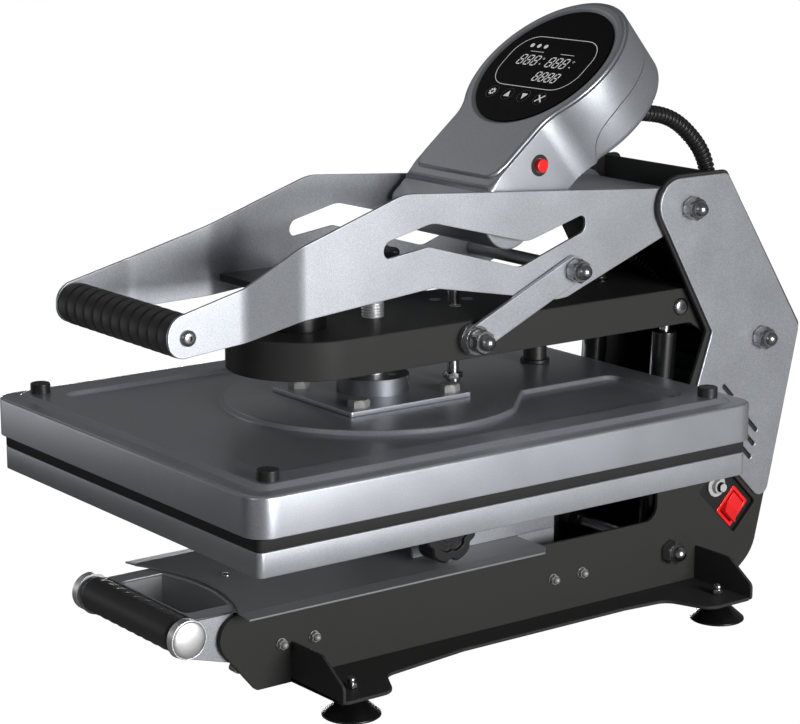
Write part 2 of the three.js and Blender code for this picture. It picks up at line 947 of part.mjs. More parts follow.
function makeFoot(name, x, y) {
  const flangeLow = flange.low - clear;
  const flangeTop = flange.low + flange.thick + clear;
  const cone = turnedZ([
    [floor, foot.radius],
    [floor + foot.rim, foot.radius],
    [floor + foot.cone * foot.bellyShare, foot.radius * foot.bellyWidthShare],
    [floor + foot.cone, foot.waist],
    [floor + foot.cone, foot.neck],
    [flangeLow, foot.neck],
  ]);
  const nutTop = flangeTop + footBolt.hex;
  const dome = [[flangeTop + clear, footBolt.dome], ...domeRows(nutTop, 1, footBolt.dome, smallDomeShares)];
  const nut = join(hexZ(footBolt.across, flangeTop, nutTop, 0, 0), turnedZ(dome, 0, 0, smallRoundSteps));
  const stem = rodZ(footBolt.radius, flangeLow - clear, flangeTop + clear, 0, 0, smallRoundSteps);
  place(`foot_${name}`, join(cone, stem, nut), rubber, standing, [x, y, 0]);
}
bothSides((name, side) => {
  makeFoot(`front_${name}`, foot.x * side, foot.frontY);
  makeFoot(`rear_${name}`, foot.x * side, foot.rearY);
});

// Through shafts with an acorn nut at each end. Collars are [from, to, radius] on one side.

function makeShaft(name, pivot, seat, collars) {
  const parts = [rodX(shaft.radius, -seat - clear * 2, seat + clear * 2, 0, 0, nutSteps)];
  bothSides((_, side) => {
    parts.push(acornX((seat + clear) * side, side, 0, 0, acorn));
    collars.forEach(([from, to, radius]) => parts.push(rodX(radius, from * side, to * side, 0, 0, nutSteps)));
  });
  place(name, join(...parts), chrome, standing, [0, pivot.y, pivot.z]);
}
makeShaft("lever_shaft", leverPivot, coverOuter, [[0, lever.inner - clear, shaft.sleeve]]);
makeShaft("arm_shaft", armPivot, coverOuter, [
  [0, arm.half - arm.wall - clear, shaft.sleeve],
  [arm.half + clear, frame.inner - clear, shaft.collar],
]);
makeShaft("spring_shaft", springFoot, frameOuter, [
  [0, springTop.x - spring.eyeWide / 2 - clear, shaft.sleeve],
  [springTop.x + spring.eyeWide / 2 + clear, frame.inner - clear, shaft.sleeve],
]);

// Drawer rails: C channels open to the inside, with their bolts and small acorn nuts

function makeRail(name, side) {
  const outer = frame.inner - clear;
  const inner = outer - rail.deep;
  const channel = alongY(
    [
      [outer, rail.low],
      [outer, rail.high],
      [inner, rail.high],
      [inner, rail.high - rail.sheet],
      [outer - rail.sheet, rail.high - rail.sheet],
      [outer - rail.sheet, rail.low + rail.sheet],
      [inner, rail.low + rail.sheet],
      [inner, rail.low],
    ].map(([x, z]) => new THREE.Vector2(x * side, z)),
    rail.front,
    rail.rear,
  );
  const seat = (frameOuter + clear) * side;
  const bolts = rail.boltY.flatMap((y) => [
    rodX(smallNut.bolt, (outer - rail.sheet / 2) * side, seat + clear * side, y, rail.boltZ, smallRoundSteps),
    acornX(seat, side, y, rail.boltZ, smallNut, smallRoundSteps, smallDomeShares),
  ]);
  place(`drawer_rail_${name}`, join(channel, ...bolts), steel);
}
bothSides(makeRail);

// Power switch in the slanted pocket of the right frame, and the breaker's reset button beside it

const switchBack = frame.inner - clear;
const rockerTop = frameOuter - rocker.rim;

function makeSwitch() {
  const margin = pocket.corner * 2;
  const tray = alongX(
    diamond(pocket.y, pocket.z, pocket.long + margin, pocket.wide + margin, pocket.corner),
    switchBack - rocker.rim,
    switchBack,
  );
  const bezel = alongX(
    diamond(rocker.y, rocker.z, rocker.wide, rocker.long, pocket.corner / 2),
    switchBack - clear,
    rockerTop,
  );
  const can = alongX(
    diamond(rocker.y, rocker.z, rocker.wide - rocker.rim, rocker.long - rocker.rim),
    switchBack - rocker.depth,
    switchBack,
  );
  const well = alongX(
    diamond(rocker.y, rocker.z, rocker.wide - rocker.rim * 2, rocker.long - rocker.rim * 2),
    switchBack - rocker.depth / 2,
    rockerTop + overrun,
  );
  const breakerHole = rodX(
    breaker.body + boreClear,
    switchBack - rocker.rim - overrun,
    switchBack + overrun,
    breaker.y,
    breaker.z,
  );
  place("switch_body", cut(join(tray, bezel, can), well, breakerHole), redPlastic);
}
makeSwitch();

// The rocker turns about the slanted axis across its well. Its local X points out of the press.
function makeRocker() {
  const halfLong = rocker.long / 2 - rocker.rim - boreClear * 2;
  const wide = rocker.wide - rocker.rim * 2 - boreClear * 2;
  const outline = [
    [-halfLong * rocker.rootShare, -rocker.root],
    [halfLong * rocker.rootShare, -rocker.root],
    [halfLong, -rocker.rim],
    [halfLong * rocker.crestShare, rocker.bulge],
    [0, rocker.bulge * rocker.dipShare],
    [-halfLong * rocker.crestShare, rocker.bulge * rocker.lowShare],
    [-halfLong, -rocker.rim],
  ].map(([a, b]) => new THREE.Vector2(a, b));
  const geometry = new THREE.ExtrudeGeometry(new THREE.Shape(outline), {
    depth: wide,
    bevelEnabled: false,
    steps: 1,
  });
  geometry.translate(0, 0, -wide / 2);
  const along = new THREE.Vector3(0, -1, -1).normalize();
  const across = new THREE.Vector3().crossVectors(along, axisX);
  geometry.applyMatrix4(new THREE.Matrix4().makeBasis(along, axisX, across));
  place("power_rocker", solid(geometry), redPlastic, standing, [rockerTop, rocker.y, rocker.z]);
}
makeRocker();

place(
  "breaker_body",
  cut(
    join(
      rodX(breaker.flange, switchBack + clear, switchBack + clear + rocker.rim / 2),
      rodX(breaker.body, switchBack - breaker.depth, switchBack + clear * 2),
    ),
    rodX(breaker.button + boreClear, switchBack - breaker.depth / 2, switchBack + overrun),
  ),
  greyPlastic,
  standing,
  [0, breaker.y, breaker.z],
);
place(
  "reset_button",
  rodX(breaker.button, switchBack - breaker.depth / 2 + rocker.proud + clear * 2, switchBack + breaker.proud),
  blackPlastic,
  standing,
  [0, breaker.y, breaker.z],
);

// Drawer: a plate with outer lips and inner webs that run in the rails, and its handle

const drawerGroup = group();
const drawerLow = drawer.top - drawer.sheet;

// Points of an arc that bows from one front corner to the other, by the given depth
function bow(half, front, deep, steps = endSteps) {
  const radius = (half * half + deep * deep) / (2 * deep);
  const sweep = Math.asin(half / radius);
  return Array.from({ length: steps + 1 }, (_, i) => {
    const angle = sweep - (2 * sweep * i) / steps;
    return new THREE.Vector2(radius * Math.sin(angle), front + deep - radius + radius * Math.cos(angle));
  });
}

function makeDrawerPlate() {
  const scallop = bow(drawer.scallopHalf, drawer.front, drawer.scallopDeep);
  const outline = [
    new THREE.Vector2(-drawer.half, drawer.front),
    ...scallop.reverse(),
    new THREE.Vector2(drawer.half, drawer.front),
    new THREE.Vector2(drawer.half, drawer.rear - drawer.chamfer),
    new THREE.Vector2(drawer.half - drawer.chamfer, drawer.rear),
    new THREE.Vector2(-drawer.half + drawer.chamfer, drawer.rear),
    new THREE.Vector2(-drawer.half, drawer.rear - drawer.chamfer),
  ];
  const parts = [alongZ(outline, drawerLow, drawer.top)];
  bothSides((_, side) => {
    const inner = drawer.half * side;
    const lip = bentSheet(
      [
        [inner - drawer.sheet * side, drawerLow],
        [inner, drawerLow],
        [drawer.lipOut * side, drawerLow - drawer.lipDrop],
      ],
      drawer.sheet * side,
    );
    parts.push(alongY(lip, drawer.front, drawer.rear - drawer.chamfer));
    const web = drawer.webX * side;
    const webOut = (drawer.webX + drawer.sheet) * side;
    const runnerOut = (frame.inner - rail.sheet - clear * 2) * side;
    const runnerLow = rail.low + rail.sheet + clear;
    const webFront = handle.flangeRear + clear;
    const upright = box(web, webOut, runnerLow, drawer.top - drawer.sheet / 2);
    const runner = box(web, runnerOut, runnerLow, runnerLow + drawer.runnerHigh);
    parts.push(alongY(upright, webFront, drawer.rear), alongY(runner, webFront, drawer.rear));
  });
  place("drawer_plate", join(...parts), drawerPaint, drawerGroup);
}
makeDrawerPlate();

// Handle bracket: a flange with a finger opening and its skirt, and a side arm to each end of the grip
function makeBracket() {
  const top = drawerLow - clear;
  const half = frame.inner - clear - handle.sheet / 2;
  const front = handle.y + handle.flangeGap;
  const openFront = front + handle.sheet * 3;
  const opening = (grow) => [
    new THREE.Vector2(-handle.openHalf - grow, openFront - grow),
    new THREE.Vector2(handle.openHalf + grow, openFront - grow),
    ...bow(handle.openHalf + grow, handle.openRear + grow, handle.openSweep),
  ];
  const plate = alongZ(box(-half, half, front, handle.flangeRear), top - handle.sheet, top);
  const skirt = alongZ(opening(handle.sheet), top - handle.skirt, top);
  const hole = alongZ(opening(0), top - handle.skirt - overrun, top + overrun);
  const sideArm = (side) => {
    const nose = handle.foam * handle.noseShare;
    const outline = rounded([
      [handle.y - nose, handle.z - handle.foam, nose],
      [handle.armRear, handle.armLow, handle.sheet],
      [handle.armRear, top, 0],
      [front, top, handle.sheet * 3],
      [handle.y - nose, handle.z + nose, nose],
    ]);
    return alongX(outline, half * side, (half - handle.sheet) * side);
  };
  const cored = [sideArm(1), sideArm(-1)].map((arm) =>
    cut(arm, rodX(handle.core + boreClear, -half - overrun, half + overrun, handle.y, handle.z)),
  );
  place("drawer_bracket", cut(join(plate, skirt, ...cored), hole), silverPaint, drawerGroup);
}
makeBracket();

function makeHandleCore() {
  const parts = [rodX(handle.core, -handle.capInner - clear, handle.capInner + clear, 0, 0, nutSteps)];
  bothSides((_, side) => {
    const rows = [
      [handle.capInner, handle.capRadius],
      [handle.capOuter - handle.capEdge, handle.capRadius],
      [handle.capOuter, handle.capRadius - handle.capEdge],
    ].map(([place, radius]) => [place * side, radius]);
    parts.push(turnedX(rows, 0, 0, wideRoundSteps));
  });
  place("drawer_grip_core", join(...parts), chrome, drawerGroup, [0, handle.y, handle.z]);
}
makeHandleCore();

function makeHandleFoam() {
  const end = frame.inner - handle.sheet * 2 - clear * 2;
  const count = handle.waves * 2;
  const rows = Array.from({ length: count + 1 }, (_, i) => [
    -end + (2 * end * i) / count,
    handle.foam - (i % 2 === 0 ? handle.wave : 0),
  ]);
  const bore = rodX(handle.core + clear, -end - overrun, end + overrun, 0, 0, nutSteps);
  const foam = cut(turnedX(rows, 0, 0, gripSteps), bore);
  place("drawer_grip", foam, rubber, drawerGroup, [0, handle.y, handle.z]);
}
makeHandleFoam();

// Pedestal of the lower platen: a folded channel on the drawer plate and a stiff plate under the platen

const stiffTop = platen.bottom - clear;
const stiffLow = stiffTop - pedestal.plateThick;
function makePedestal() {
  const low = drawer.top + clear;
  const outer = box(-pedestal.half, pedestal.half, low, stiffLow + clear, pedestal.wall);
  const innerHalf = pedestal.half - pedestal.wall;
  const inner = box(-innerHalf, innerHalf, low - overrun, stiffLow - pedestal.wall);
  const channel = cut(
    alongY(outer, pedestal.front, pedestal.rear),
    alongY(inner, pedestal.front - overrun, pedestal.rear + overrun),
  );
  const { plateHalf, plateFront, plateRear, plateCorner } = pedestal;
  const stiff = alongZ(box(-plateHalf, plateHalf, plateFront, plateRear, plateCorner), stiffLow, stiffTop);
  const boreTo = pedestal.half + overrun;
  const bore = rodX(clampKnob.bolt + boreClear, innerHalf - overrun, boreTo, clampKnob.y, clampKnob.z);
  place("pedestal", cut(join(channel, stiff), bore), silverPaint, drawerGroup);
}
makePedestal();

function makeClampKnob() {
  const { face, back, hub: hubRadius, bolt } = clampKnob;
  const grippy = alongX(lobed(clampKnob.radius, clampKnob.lobe, clampKnob.lobes), back, face);
  const dish = rodX(clampKnob.dish, face - clampKnob.lobe, face + overrun);
  const neck = rodX(hubRadius, pedestal.half + clear, back + clear);
  const stud = rodX(bolt, pedestal.half - pedestal.wall * 2, back + clear);
  const knob = join(cut(grippy, dish), neck, stud);
  place("clamp_knob", knob, blackPlastic, drawerGroup, [0, clampKnob.y, clampKnob.z]);
}
makeClampKnob();

function platenOutline(grow, corner) {
  const x = platen.width / 2 + grow;
  const y = platen.depth / 2 + grow;
  return box(-x, x, -y, y, corner);
}
place(
  "lower_platen",
  alongZ(platenOutline(0, platen.corner), platen.bottom, platen.bottom + platen.thick),
  platenMetal,
  drawerGroup,
);
place("silicone_pad", alongZ(platenOutline(0, platen.corner), padLow, padTop), siliconeRubber, drawerGroup);

// Upper platen: heating plate with its cast-in element, insulation, and the cover with its raised land

const upperGroup = group();

function makeHeatingPlate() {
  const plateBody = alongZ(platenOutline(0, platen.corner * 2), hotLow, hotLow + heater.thick);
  const inset = heater.elementInset;
  const ring = (grow) => platenOutline(-inset + grow, inset / 2);
  const ridgeTop = hotLow + heater.thick + heater.elementHigh;
  const ridge = cut(
    alongZ(ring(heater.elementWide), hotLow + clear, ridgeTop),
    alongZ(ring(0), hotLow + clear * 2, ridgeTop + overrun),
  );
  place("heating_plate", join(plateBody, ridge), platenMetal, upperGroup);
}
makeHeatingPlate();

const woolLow = hotLow + heater.thick + heater.elementHigh + clear;
place(
  "insulation_board",
  alongZ(platenOutline(-insulation.inset, platen.corner), woolLow, roofLow - clear),
  wool,
  upperGroup,
);

// A plate with an outline that shrinks from one height to another
function tapered(grow0, corner0, z0, grow1, corner1, z1) {
  const low = platenOutline(grow0, corner0);
  const high = platenOutline(grow1, corner1);
  const count = low.length;
  const points = [...low.map((p) => [p.x, p.y, z0]), ...high.map((p) => [p.x, p.y, z1])].flat();
  const faces = [];
  for (let i = 0; i < count; i++) {
    const j = (i + 1) % count;
    faces.push(i, j, count + j, i, count + j, count + i);
  }
  for (let i = 1; i < count - 1; i++) faces.push(0, i + 1, i, count, count + i, count + i + 1);
  const geometry = new THREE.BufferGeometry();
  geometry.setAttribute("position", new THREE.Float32BufferAttribute(points, 3));
  geometry.setIndex(faces);
  return solid(geometry);
}

function makeShell() {
  const grow = shell.overhang;
  const edgeLow = lipTop - shell.edge;
  const walls = alongZ(platenOutline(grow, shell.corner), coverLow, edgeLow);
  const lip = tapered(grow, shell.corner, edgeLow, grow - shell.edge, shell.corner - shell.edge, lipTop);
  const stepGrow = grow - shell.stepInset;
  const step = tapered(
    stepGrow,
    shell.corner / 2,
    lipTop - clear,
    stepGrow - shell.stepRun,
    shell.corner / 2,
    landTop,
  );
  const recessOutline = rounded([
    [-shell.recessX, shell.recessFront, shell.recessCorner],
    [shell.recessX, shell.recessFront, shell.recessCorner],
    [shell.recessX, shell.recessRear, shell.recessCorner],
    [shell.strip, shell.recessRear, shell.recessCorner],
    [shell.strip, 0, 0],
    [-shell.strip, 0, 0],
    [-shell.strip, shell.recessRear, shell.recessCorner],
    [-shell.recessX, shell.recessRear, shell.recessCorner],
  ]);
  const recess = cut(
    alongZ(recessOutline, recessLow, landTop + overrun),
    rodZ(shell.disc, recessLow - overrun, landTop + overrun * 2, 0, 0, bigRoundSteps),
  );
  const hollow = alongZ(
    platenOutline(grow - shell.wall, shell.corner - shell.wall),
    hotLow - overrun,
    roofLow,
  );
  const solidShell = cut(join(walls, lip, step), recess, hollow);
  const plugs = [];
  for (const x of [-1, 1]) {
    for (const y of [-1, 1]) {
      const plugX = x * (platen.width / 2 - plug.insetX);
      const plugY = y * (platen.depth / 2 - plug.insetY);
      plugs.push(rodZ(plug.radius, landTop - clear, landTop + plug.high, plugX, plugY));
    }
  }
  place("platen_cover", join(solidShell, ...plugs), coverPaint, upperGroup);
}
makeShell();

function makeMountPlate() {
  const low = landTop + clear;
  const { halfX, halfY, corner, boltX, boltY, boltAcross, boltHigh } = mountPlate;
  const plateBody = alongZ(box(-halfX, halfX, -halfY, halfY, corner), low, plateTop);
  const bolts = [];
  for (const x of [-boltX, boltX]) {
    for (const y of [-boltY, boltY]) {
      bolts.push(hexZ(boltAcross, plateTop - clear, plateTop + boltHigh, x, y));
    }
  }
  const cup = cut(
    rodZ(hub.radius, plateTop - clear, hubTop, 0, 0, wideRoundSteps),
    rodZ(screw.radius + boreClear, plateTop + hub.floor, hubTop + overrun),
  );
  place("mount_plate", join(plateBody, cup, ...bolts), steel, upperGroup);
}
makeMountPlate();

function makeGuideRod() {
  const low = landTop + clear;
  const stud = join(
    rodZ(guide.thin, low, guide.step + clear, 0, 0, smallRoundSteps),
    rodZ(guide.radius, guide.step, guide.top, 0, 0, smallRoundSteps),
  );
  const base = rodZ(guide.radius * 2, low, low + mountPlate.thick, 0, 0, smallRoundSteps);
  const nut = hexZ(guide.across, low + guide.nutLow, low + guide.nutLow + guide.nutHigh, 0, 0);
  place("guide_rod", join(stud, base, nut), steel, upperGroup, [0, guide.y, 0]);
}
makeGuideRod();

function makeGland() {
  const low = landTop + clear;
  const body = join(
    rodZ(gland.flange, low, low + gland.flangeHigh),
    rodZ(gland.radius, low, gland.top),
  );
  const bore = rodZ(gland.radius - gland.wall, low + gland.flangeHigh, gland.top + overrun);
  place("cable_gland", cut(body, bore), blackPlastic, upperGroup, [gland.x, gland.y, 0]);
}
makeGland();

// Pressure arm: a channel open below, round at the front, with two ears down to its rear pivot

const armGroup = group();
const armRoof = arm.top - arm.roof;

function armPlan(half, rear) {
  const points = Array.from({ length: armSteps + 1 }, (_, i) => {
    const angle = Math.PI + (Math.PI * i) / armSteps;
    return new THREE.Vector2(half * Math.cos(angle), arm.frontY + half * Math.sin(angle));
  });
  return [...points, new THREE.Vector2(half, rear), new THREE.Vector2(-half, rear)];
}

function makeArm() {
  const block = alongZ(armPlan(arm.half, arm.rear), arm.low, arm.top);
  const inside = alongZ(armPlan(arm.half - arm.wall, arm.rear + overrun), arm.low - overrun, armRoof);
  const ear = rounded([
    [springTop.y - arm.ear, arm.low, 0],
    [arm.rear, arm.low, 0],
    [armPivot.y - arm.ear, armPivot.z - arm.ear + arm.earDrop / 2, arm.ear],
    [armPivot.y + arm.ear, armPivot.z - arm.ear, arm.ear],
    [armPivot.y + arm.ear, armPivot.z + arm.ear, arm.ear],
    [arm.rear + arm.ear, arm.top, arm.ear],
    [springTop.y - arm.ear, arm.top, 0],
  ]);
  const ears = [1, -1].map((side) => alongX(ear, arm.half * side, (arm.half - arm.wall) * side));
  const boss = rodZ(arm.boss, armRoof - arm.bossDeep, armRoof + clear);
  const past = [armRoof - overrun, arm.top + overrun];
  const roofHole = (radius, x, y) => rodZ(radius, ...past, x, y, smallRoundSteps);
  const crossHole = (radius, { y, z }) => rodX(radius, -arm.half - overrun, arm.half + overrun, y, z);
  const [hoseX, hoseY] = heaterHose.route[0];
  const holes = [
    rodZ(screw.radius + boreClear, arm.low, arm.top + overrun),
    roofHole(guide.radius + boreClear, 0, guide.y),
    roofHole(heaterHose.bore, hoseX, hoseY),
    crossHole(shaft.radius + boreClear, armPivot),
    crossHole(springPin.radius + clear, springTop),
    ...arm.smallHoles.map(([x, y]) => roofHole(arm.smallHole, x, y)),
  ];
  place("pressure_arm", cut(join(cut(block, inside), ...ears, boss), ...holes), blackPaint, armGroup);
}
makeArm();

place(
  "electromagnet",
  join(
    rodZ(magnet.radius, arm.top + clear, magnet.top - magnet.capHigh, 0, 0, wideRoundSteps),
    rodZ(magnet.cap, magnet.top - magnet.capHigh - clear, magnet.top, 0, 0, wideRoundSteps),
  ),
  darkSteel,
  armGroup,
  [0, magnet.y, 0],
);

function makeSpringPin() {
  const parts = [rodX(springPin.radius, -arm.half - clear * 2, arm.half + clear * 2)];
  bothSides((_, side) => {
    parts.push(turnedX(buttonRows((arm.half + clear) * side, side, springPin.head, springPin.headHigh)));
  });
  place("spring_pin", join(...parts), chrome, armGroup, [0, springTop.y, springTop.z]);
}
makeSpringPin();

// Pressure screw in the arm, and the lobed knob on its top

place(
  "pressure_screw",
  join(
    rodZ(screw.crest, plateTop + hub.floor + clear, screw.top + screwKnob.high / 2),
    rodZ(screw.radius, arm.top - arm.roof, screw.top),
  ),
  steel,
  armGroup,
);
place(
  "pressure_knob",
  cut(
    alongZ(
      lobed(screwKnob.radius, screwKnob.lobe, screwKnob.lobes),
      screw.top + clear,
      screw.top + screwKnob.high,
    ),
    rodZ(screw.crest + clear, screw.top - overrun, screw.top + screwKnob.high / 2 + clear),
  ),
  blackPlastic,
  armGroup,
);

// Gas springs: a cylinder on the lower shaft, and a rod whose eye takes the arm's pin with room to spare

const springRun = [springTop.y - springFoot.y, springTop.z - springFoot.z];
const springLean = Math.atan2(springRun[0], springRun[1]);
const springLength = Math.hypot(...springRun);

function makeSpring(name, side) {
  const x = springTop.x * side;
  const half = spring.eyeWide / 2;
  const topHalf = spring.topEyeWide / 2;
  const topBore = springPin.radius + spring.openPivot;
  const cylinder = cut(
    join(
      rodX(spring.eye, -half, half),
      rodZ(spring.neck, 0, spring.bodyFrom + clear),
      rodZ(spring.body, spring.bodyFrom, spring.bodyTo),
    ),
    rodX(shaft.radius + boreClear, -half - overrun, half + overrun),
    rodZ(spring.rod + clear, spring.bodyTo - spring.rodInside - overrun, spring.bodyTo + overrun),
  );
  const rod = cut(
    join(
      rodZ(spring.rod, spring.bodyTo - spring.rodInside, springLength - (spring.topEye + topBore) / 2),
      rodX(spring.topEye, -topHalf, topHalf, 0, springLength),
    ),
    rodX(topBore, -topHalf - overrun, topHalf + overrun, 0, springLength),
  );
  const made = [
    place(`gas_cylinder_${name}`, cylinder, darkSteel, standing, [x, springFoot.y, springFoot.z]),
    place(`gas_rod_${name}`, rod, chrome, standing, [x, springFoot.y, springFoot.z]),
  ];
  made.forEach((mesh) => {
    mesh.rotation.x = -springLean;
  });
}
bothSides(makeSpring);

// Lever: two bent plates, outlined along the line from the grip to the pivot

const leverGroup = group();

// Points in shares: how far along that line, and how far above it as a share of the lever's height
const leverTopShares = [
  [0.101, 0.41],
  [0.223, 0.66],
  [0.415, 1.02],
  [0.955, 0.31],
];
const leverLowShares = [
  [0.957, -0.324],
  [0.8, -0.74],
  [0.735, -0.84],
  [0.47, -0.236],
  [0.1, -0.235],
];
const windowShares = [
  [0.365, 0.46],
  [0.365, 0.266],
  [0.459, 0.303],
  [0.65, -0.283],
  [0.788, 0.094],
  [0.773, 0.231],
  [0.6255, 0.152],
  [0.461, 0.585],
];

function leverPoint([along, up], radius = 0) {
  const y = gripAxis.y + (leverPivot.y - gripAxis.y) * along;
  const z = gripAxis.z + (leverPivot.z - gripAxis.z) * along + lever.height * up;
  return [y, z, radius];
}

const leverOutline = rounded([
  [gripAxis.y - lever.nose, gripAxis.z - lever.nose, lever.nose],
  [gripAxis.y - lever.nose, gripAxis.z + lever.nose * lever.noseShare, lever.nose],
  ...leverTopShares.map((point) => leverPoint(point, lever.nose)),
  [leverPivot.y + lever.lobe, leverPivot.z + lever.lobe * lever.lobeShare, lever.lobe],
  [leverPivot.y + lever.lobe, leverPivot.z - lever.lobe, lever.lobe],
  ...leverLowShares.map((point) => leverPoint(point, lever.nose / 2)),
]);
const windowOutline = rounded(windowShares.map((point) => leverPoint(point, lever.nose / 2)));

function makeLeverPlate(name, side) {
  const plan = [
    [lever.inner, leverPivot.y + lever.lobe + overrun],
    [lever.inner, lever.bendRear],
    [lever.gripInner, lever.bendFront],
    [lever.gripInner, pressFront - overrun],
    [gripOuter, pressFront - overrun],
    [gripOuter, lever.bendFront],
    [leverOuter, lever.bendRear],
    [leverOuter, leverPivot.y + lever.lobe + overrun],
  ].map(([x, y]) => new THREE.Vector2(x * side, y));
  const tall = [leverPivot.z - lever.height * 2, leverPivot.z + lever.height * 2];
  const bend = alongZ(plan, ...tall);
  const from = (lever.inner - overrun) * side;
  const to = (gripOuter + overrun) * side;
  const plateBody = cut(
    alongX(leverOutline, from, to),
    alongX(windowOutline, from, to),
    rodX(shaft.radius + boreClear, from, to, leverPivot.y, leverPivot.z),
    rodX(tie.radius + clear, from, to, leverLink.y, leverLink.z),
    rodX(grip.rodRadius + clear, from, to, gripAxis.y, gripAxis.z, smallRoundSteps),
  );
  place(`lever_plate_${name}`, plateBody.intersect(bend), silverPaint, leverGroup);
}
bothSides(makeLeverPlate);

const insideLever = lever.inner - clear;
const armatureTop = armature.low + armature.thick;
place(
  "armature_plate",
  alongX(box(armature.front, armature.rear, armature.low, armatureTop), -insideLever, insideLever),
  darkSteel,
  leverGroup,
);

function leverTopAt(y) {
  const points = leverTopShares.map((point) => leverPoint(point));
  const last = points[points.length - 1];
  const before = points[points.length - 2];
  return before[1] + ((last[1] - before[1]) * (y - before[0])) / (last[0] - before[0]);
}
place(
  "bridge_plate",
  alongX(
    [
      [bridge.front, leverTopAt(bridge.front) - bridge.drop - bridge.thick],
      [bridge.rear, leverTopAt(bridge.rear) - bridge.drop - bridge.thick],
      [bridge.rear, leverTopAt(bridge.rear) - bridge.drop],
      [bridge.front, leverTopAt(bridge.front) - bridge.drop],
    ].map(([y, z]) => new THREE.Vector2(y, z)),
    -insideLever,
    insideLever,
  ),
  silverPaint,
  leverGroup,
);

function makeTieRod() {
  const seat = linkOuter + clear;
  const parts = [
    rodX(tie.radius, -seat - clear, seat + clear, 0, 0, nutSteps),
    rodX(tie.sleeve, -insideLever, tie.sleeveTo, 0, 0, nutSteps),
  ];
  bothSides((_, side) => parts.push(acornX(seat * side, side, 0, 0, acorn)));
  place("tie_rod", join(...parts), chrome, leverGroup, [0, leverLink.y, leverLink.z]);
}
makeTieRod();

function makeGrip() {
  const end = lever.gripInner - clear;
  const pitch = (2 * end) / grip.rings;
  const half = grip.grooveWide / 2;
  const rows = [[-end, grip.radius]];
  for (let i = 1; i < grip.rings; i++) {
    const at = -end + pitch * i;
    rows.push([at - half, grip.radius], [at, grip.radius - grip.groove], [at + half, grip.radius]);
  }
  rows.push([end, grip.radius]);
  const bore = rodX(grip.rodRadius + clear, -end - overrun, end + overrun, 0, 0, smallRoundSteps);
  const foam = cut(turnedX(rows, 0, 0, gripSteps), bore);
  place("lever_grip", foam, rubber, leverGroup, [0, gripAxis.y, gripAxis.z]);
  const parts = [rodX(grip.rodRadius, -gripOuter - clear * 2, gripOuter + clear * 2, 0, 0, smallRoundSteps)];
  bothSides((_, side) => {
    const rows = buttonRows((gripOuter + clear) * side, side, grip.button, grip.buttonHigh);
    parts.push(turnedX(rows, 0, 0, smallRoundSteps));
  });
  place("grip_rod", join(...parts), chrome, leverGroup, [0, gripAxis.y, gripAxis.z]);
}
makeGrip();

// Links from the lever down to the arm, outside the lever plates

function makeLink(name, side) {
  const dy = leverLink.y - armLink.y;
  const dz = leverLink.z - armLink.z;
  const long = Math.hypot(dy, dz);
  const ends = [0, long].map((at, k) =>
    Array.from({ length: endSteps + 1 }, (_, i) => {
      const angle = Math.PI / 2 + k * Math.PI + (Math.PI * i) / endSteps;
      return new THREE.Vector2(at + link.radius * Math.cos(angle), link.radius * Math.sin(angle));
    }),
  );
  const outline = ends.flat().map((point) =>
    point.rotateAround(new THREE.Vector2(), Math.atan2(dz, dy)).add(new THREE.Vector2(armLink.y, armLink.z)),
  );
  const from = link.inner * side;
  const to = linkOuter * side;
  const past = overrun * side;
  const body = cut(
    alongX(outline, from, to),
    rodX(tie.radius + boreClear, from - past, to + past, leverLink.y, leverLink.z),
    rodX(tie.radius + clear, from - past, to + past, armLink.y, armLink.z),
  );
  place(`link_${name}`, body, silverPaint);
  const inner = (arm.half + clear) * side;
  const washer = (linkOuter + clear) * side;
  const seat = washer + linkBolt.washerThick * side;
  const bolt = join(
    rodX(linkBolt.collar, inner, (link.inner - clear) * side),
    rodX(tie.radius, inner, seat + clear * side, 0, 0, nutSteps),
    rodX(linkBolt.washer, washer, seat),
    acornX(seat - clear * side, side, 0, 0, acorn),
  );
  place(`link_bolt_${name}`, bolt, chrome, standing, [0, armLink.y, armLink.z]);
}
bothSides(makeLink);

// Control head: a round casing on a neck, in the directions of its tilted face.
// A place is [x, s, d]: across, up along the face, and in behind the face.

const headFootY = onLever("headFoot"); // where s and d are measured from, on the floor of these sizes
const faceUp = new THREE.Vector3(0, Math.cos(tilt), Math.sin(tilt));
const faceOut = new THREE.Vector3(0, -Math.sin(tilt), Math.cos(tilt));
const faceBasis = new THREE.Matrix4()
  .makeBasis(axisX, faceUp, faceOut)
  .setPosition(faceOut.clone().multiplyScalar(head.plane).add(new THREE.Vector3(0, headFootY, 0)));
const facePoint = (s, d) => [
  headFootY + s * Math.cos(tilt) - (head.plane - d) * Math.sin(tilt),
  s * Math.sin(tilt) + (head.plane - d) * Math.cos(tilt),
];

function behindFace(points, from, to) {
  return slab(points, -from, -to, faceBasis);
}

// The neck's side outline: from the round head down the face, round under the lever and up the back
function neckOutline(shrink) {
  const topFace = facePoint(head.neckTop + head.radius / 2, shrink);
  const lowFace = facePoint(head.neckLow + shrink, shrink);
  const back = facePoint(head.neckTop + head.radius / 2, head.deep - shrink);
  const heel = facePoint(head.neckTop, head.deep - shrink);
  return rounded([
    topFace,
    [...lowFace, head.edge * 3],
    [head.frontY + shrink, lowFace[1] - head.lobeRadius, head.edge],
    [head.lobeY - head.lobeReach, head.lobeZ - head.lobeRise + shrink, head.lobeRadius],
    [head.lobeY, head.lobeZ - head.lobeRadius + shrink, head.lobeRadius / 2],
    [head.heelY - shrink, head.lobeZ, head.lobeRadius / 2],
    [head.heelY - shrink, leverTopAt(head.heelY), head.edge],
    [...heel, head.edge],
    back,
  ]);
}

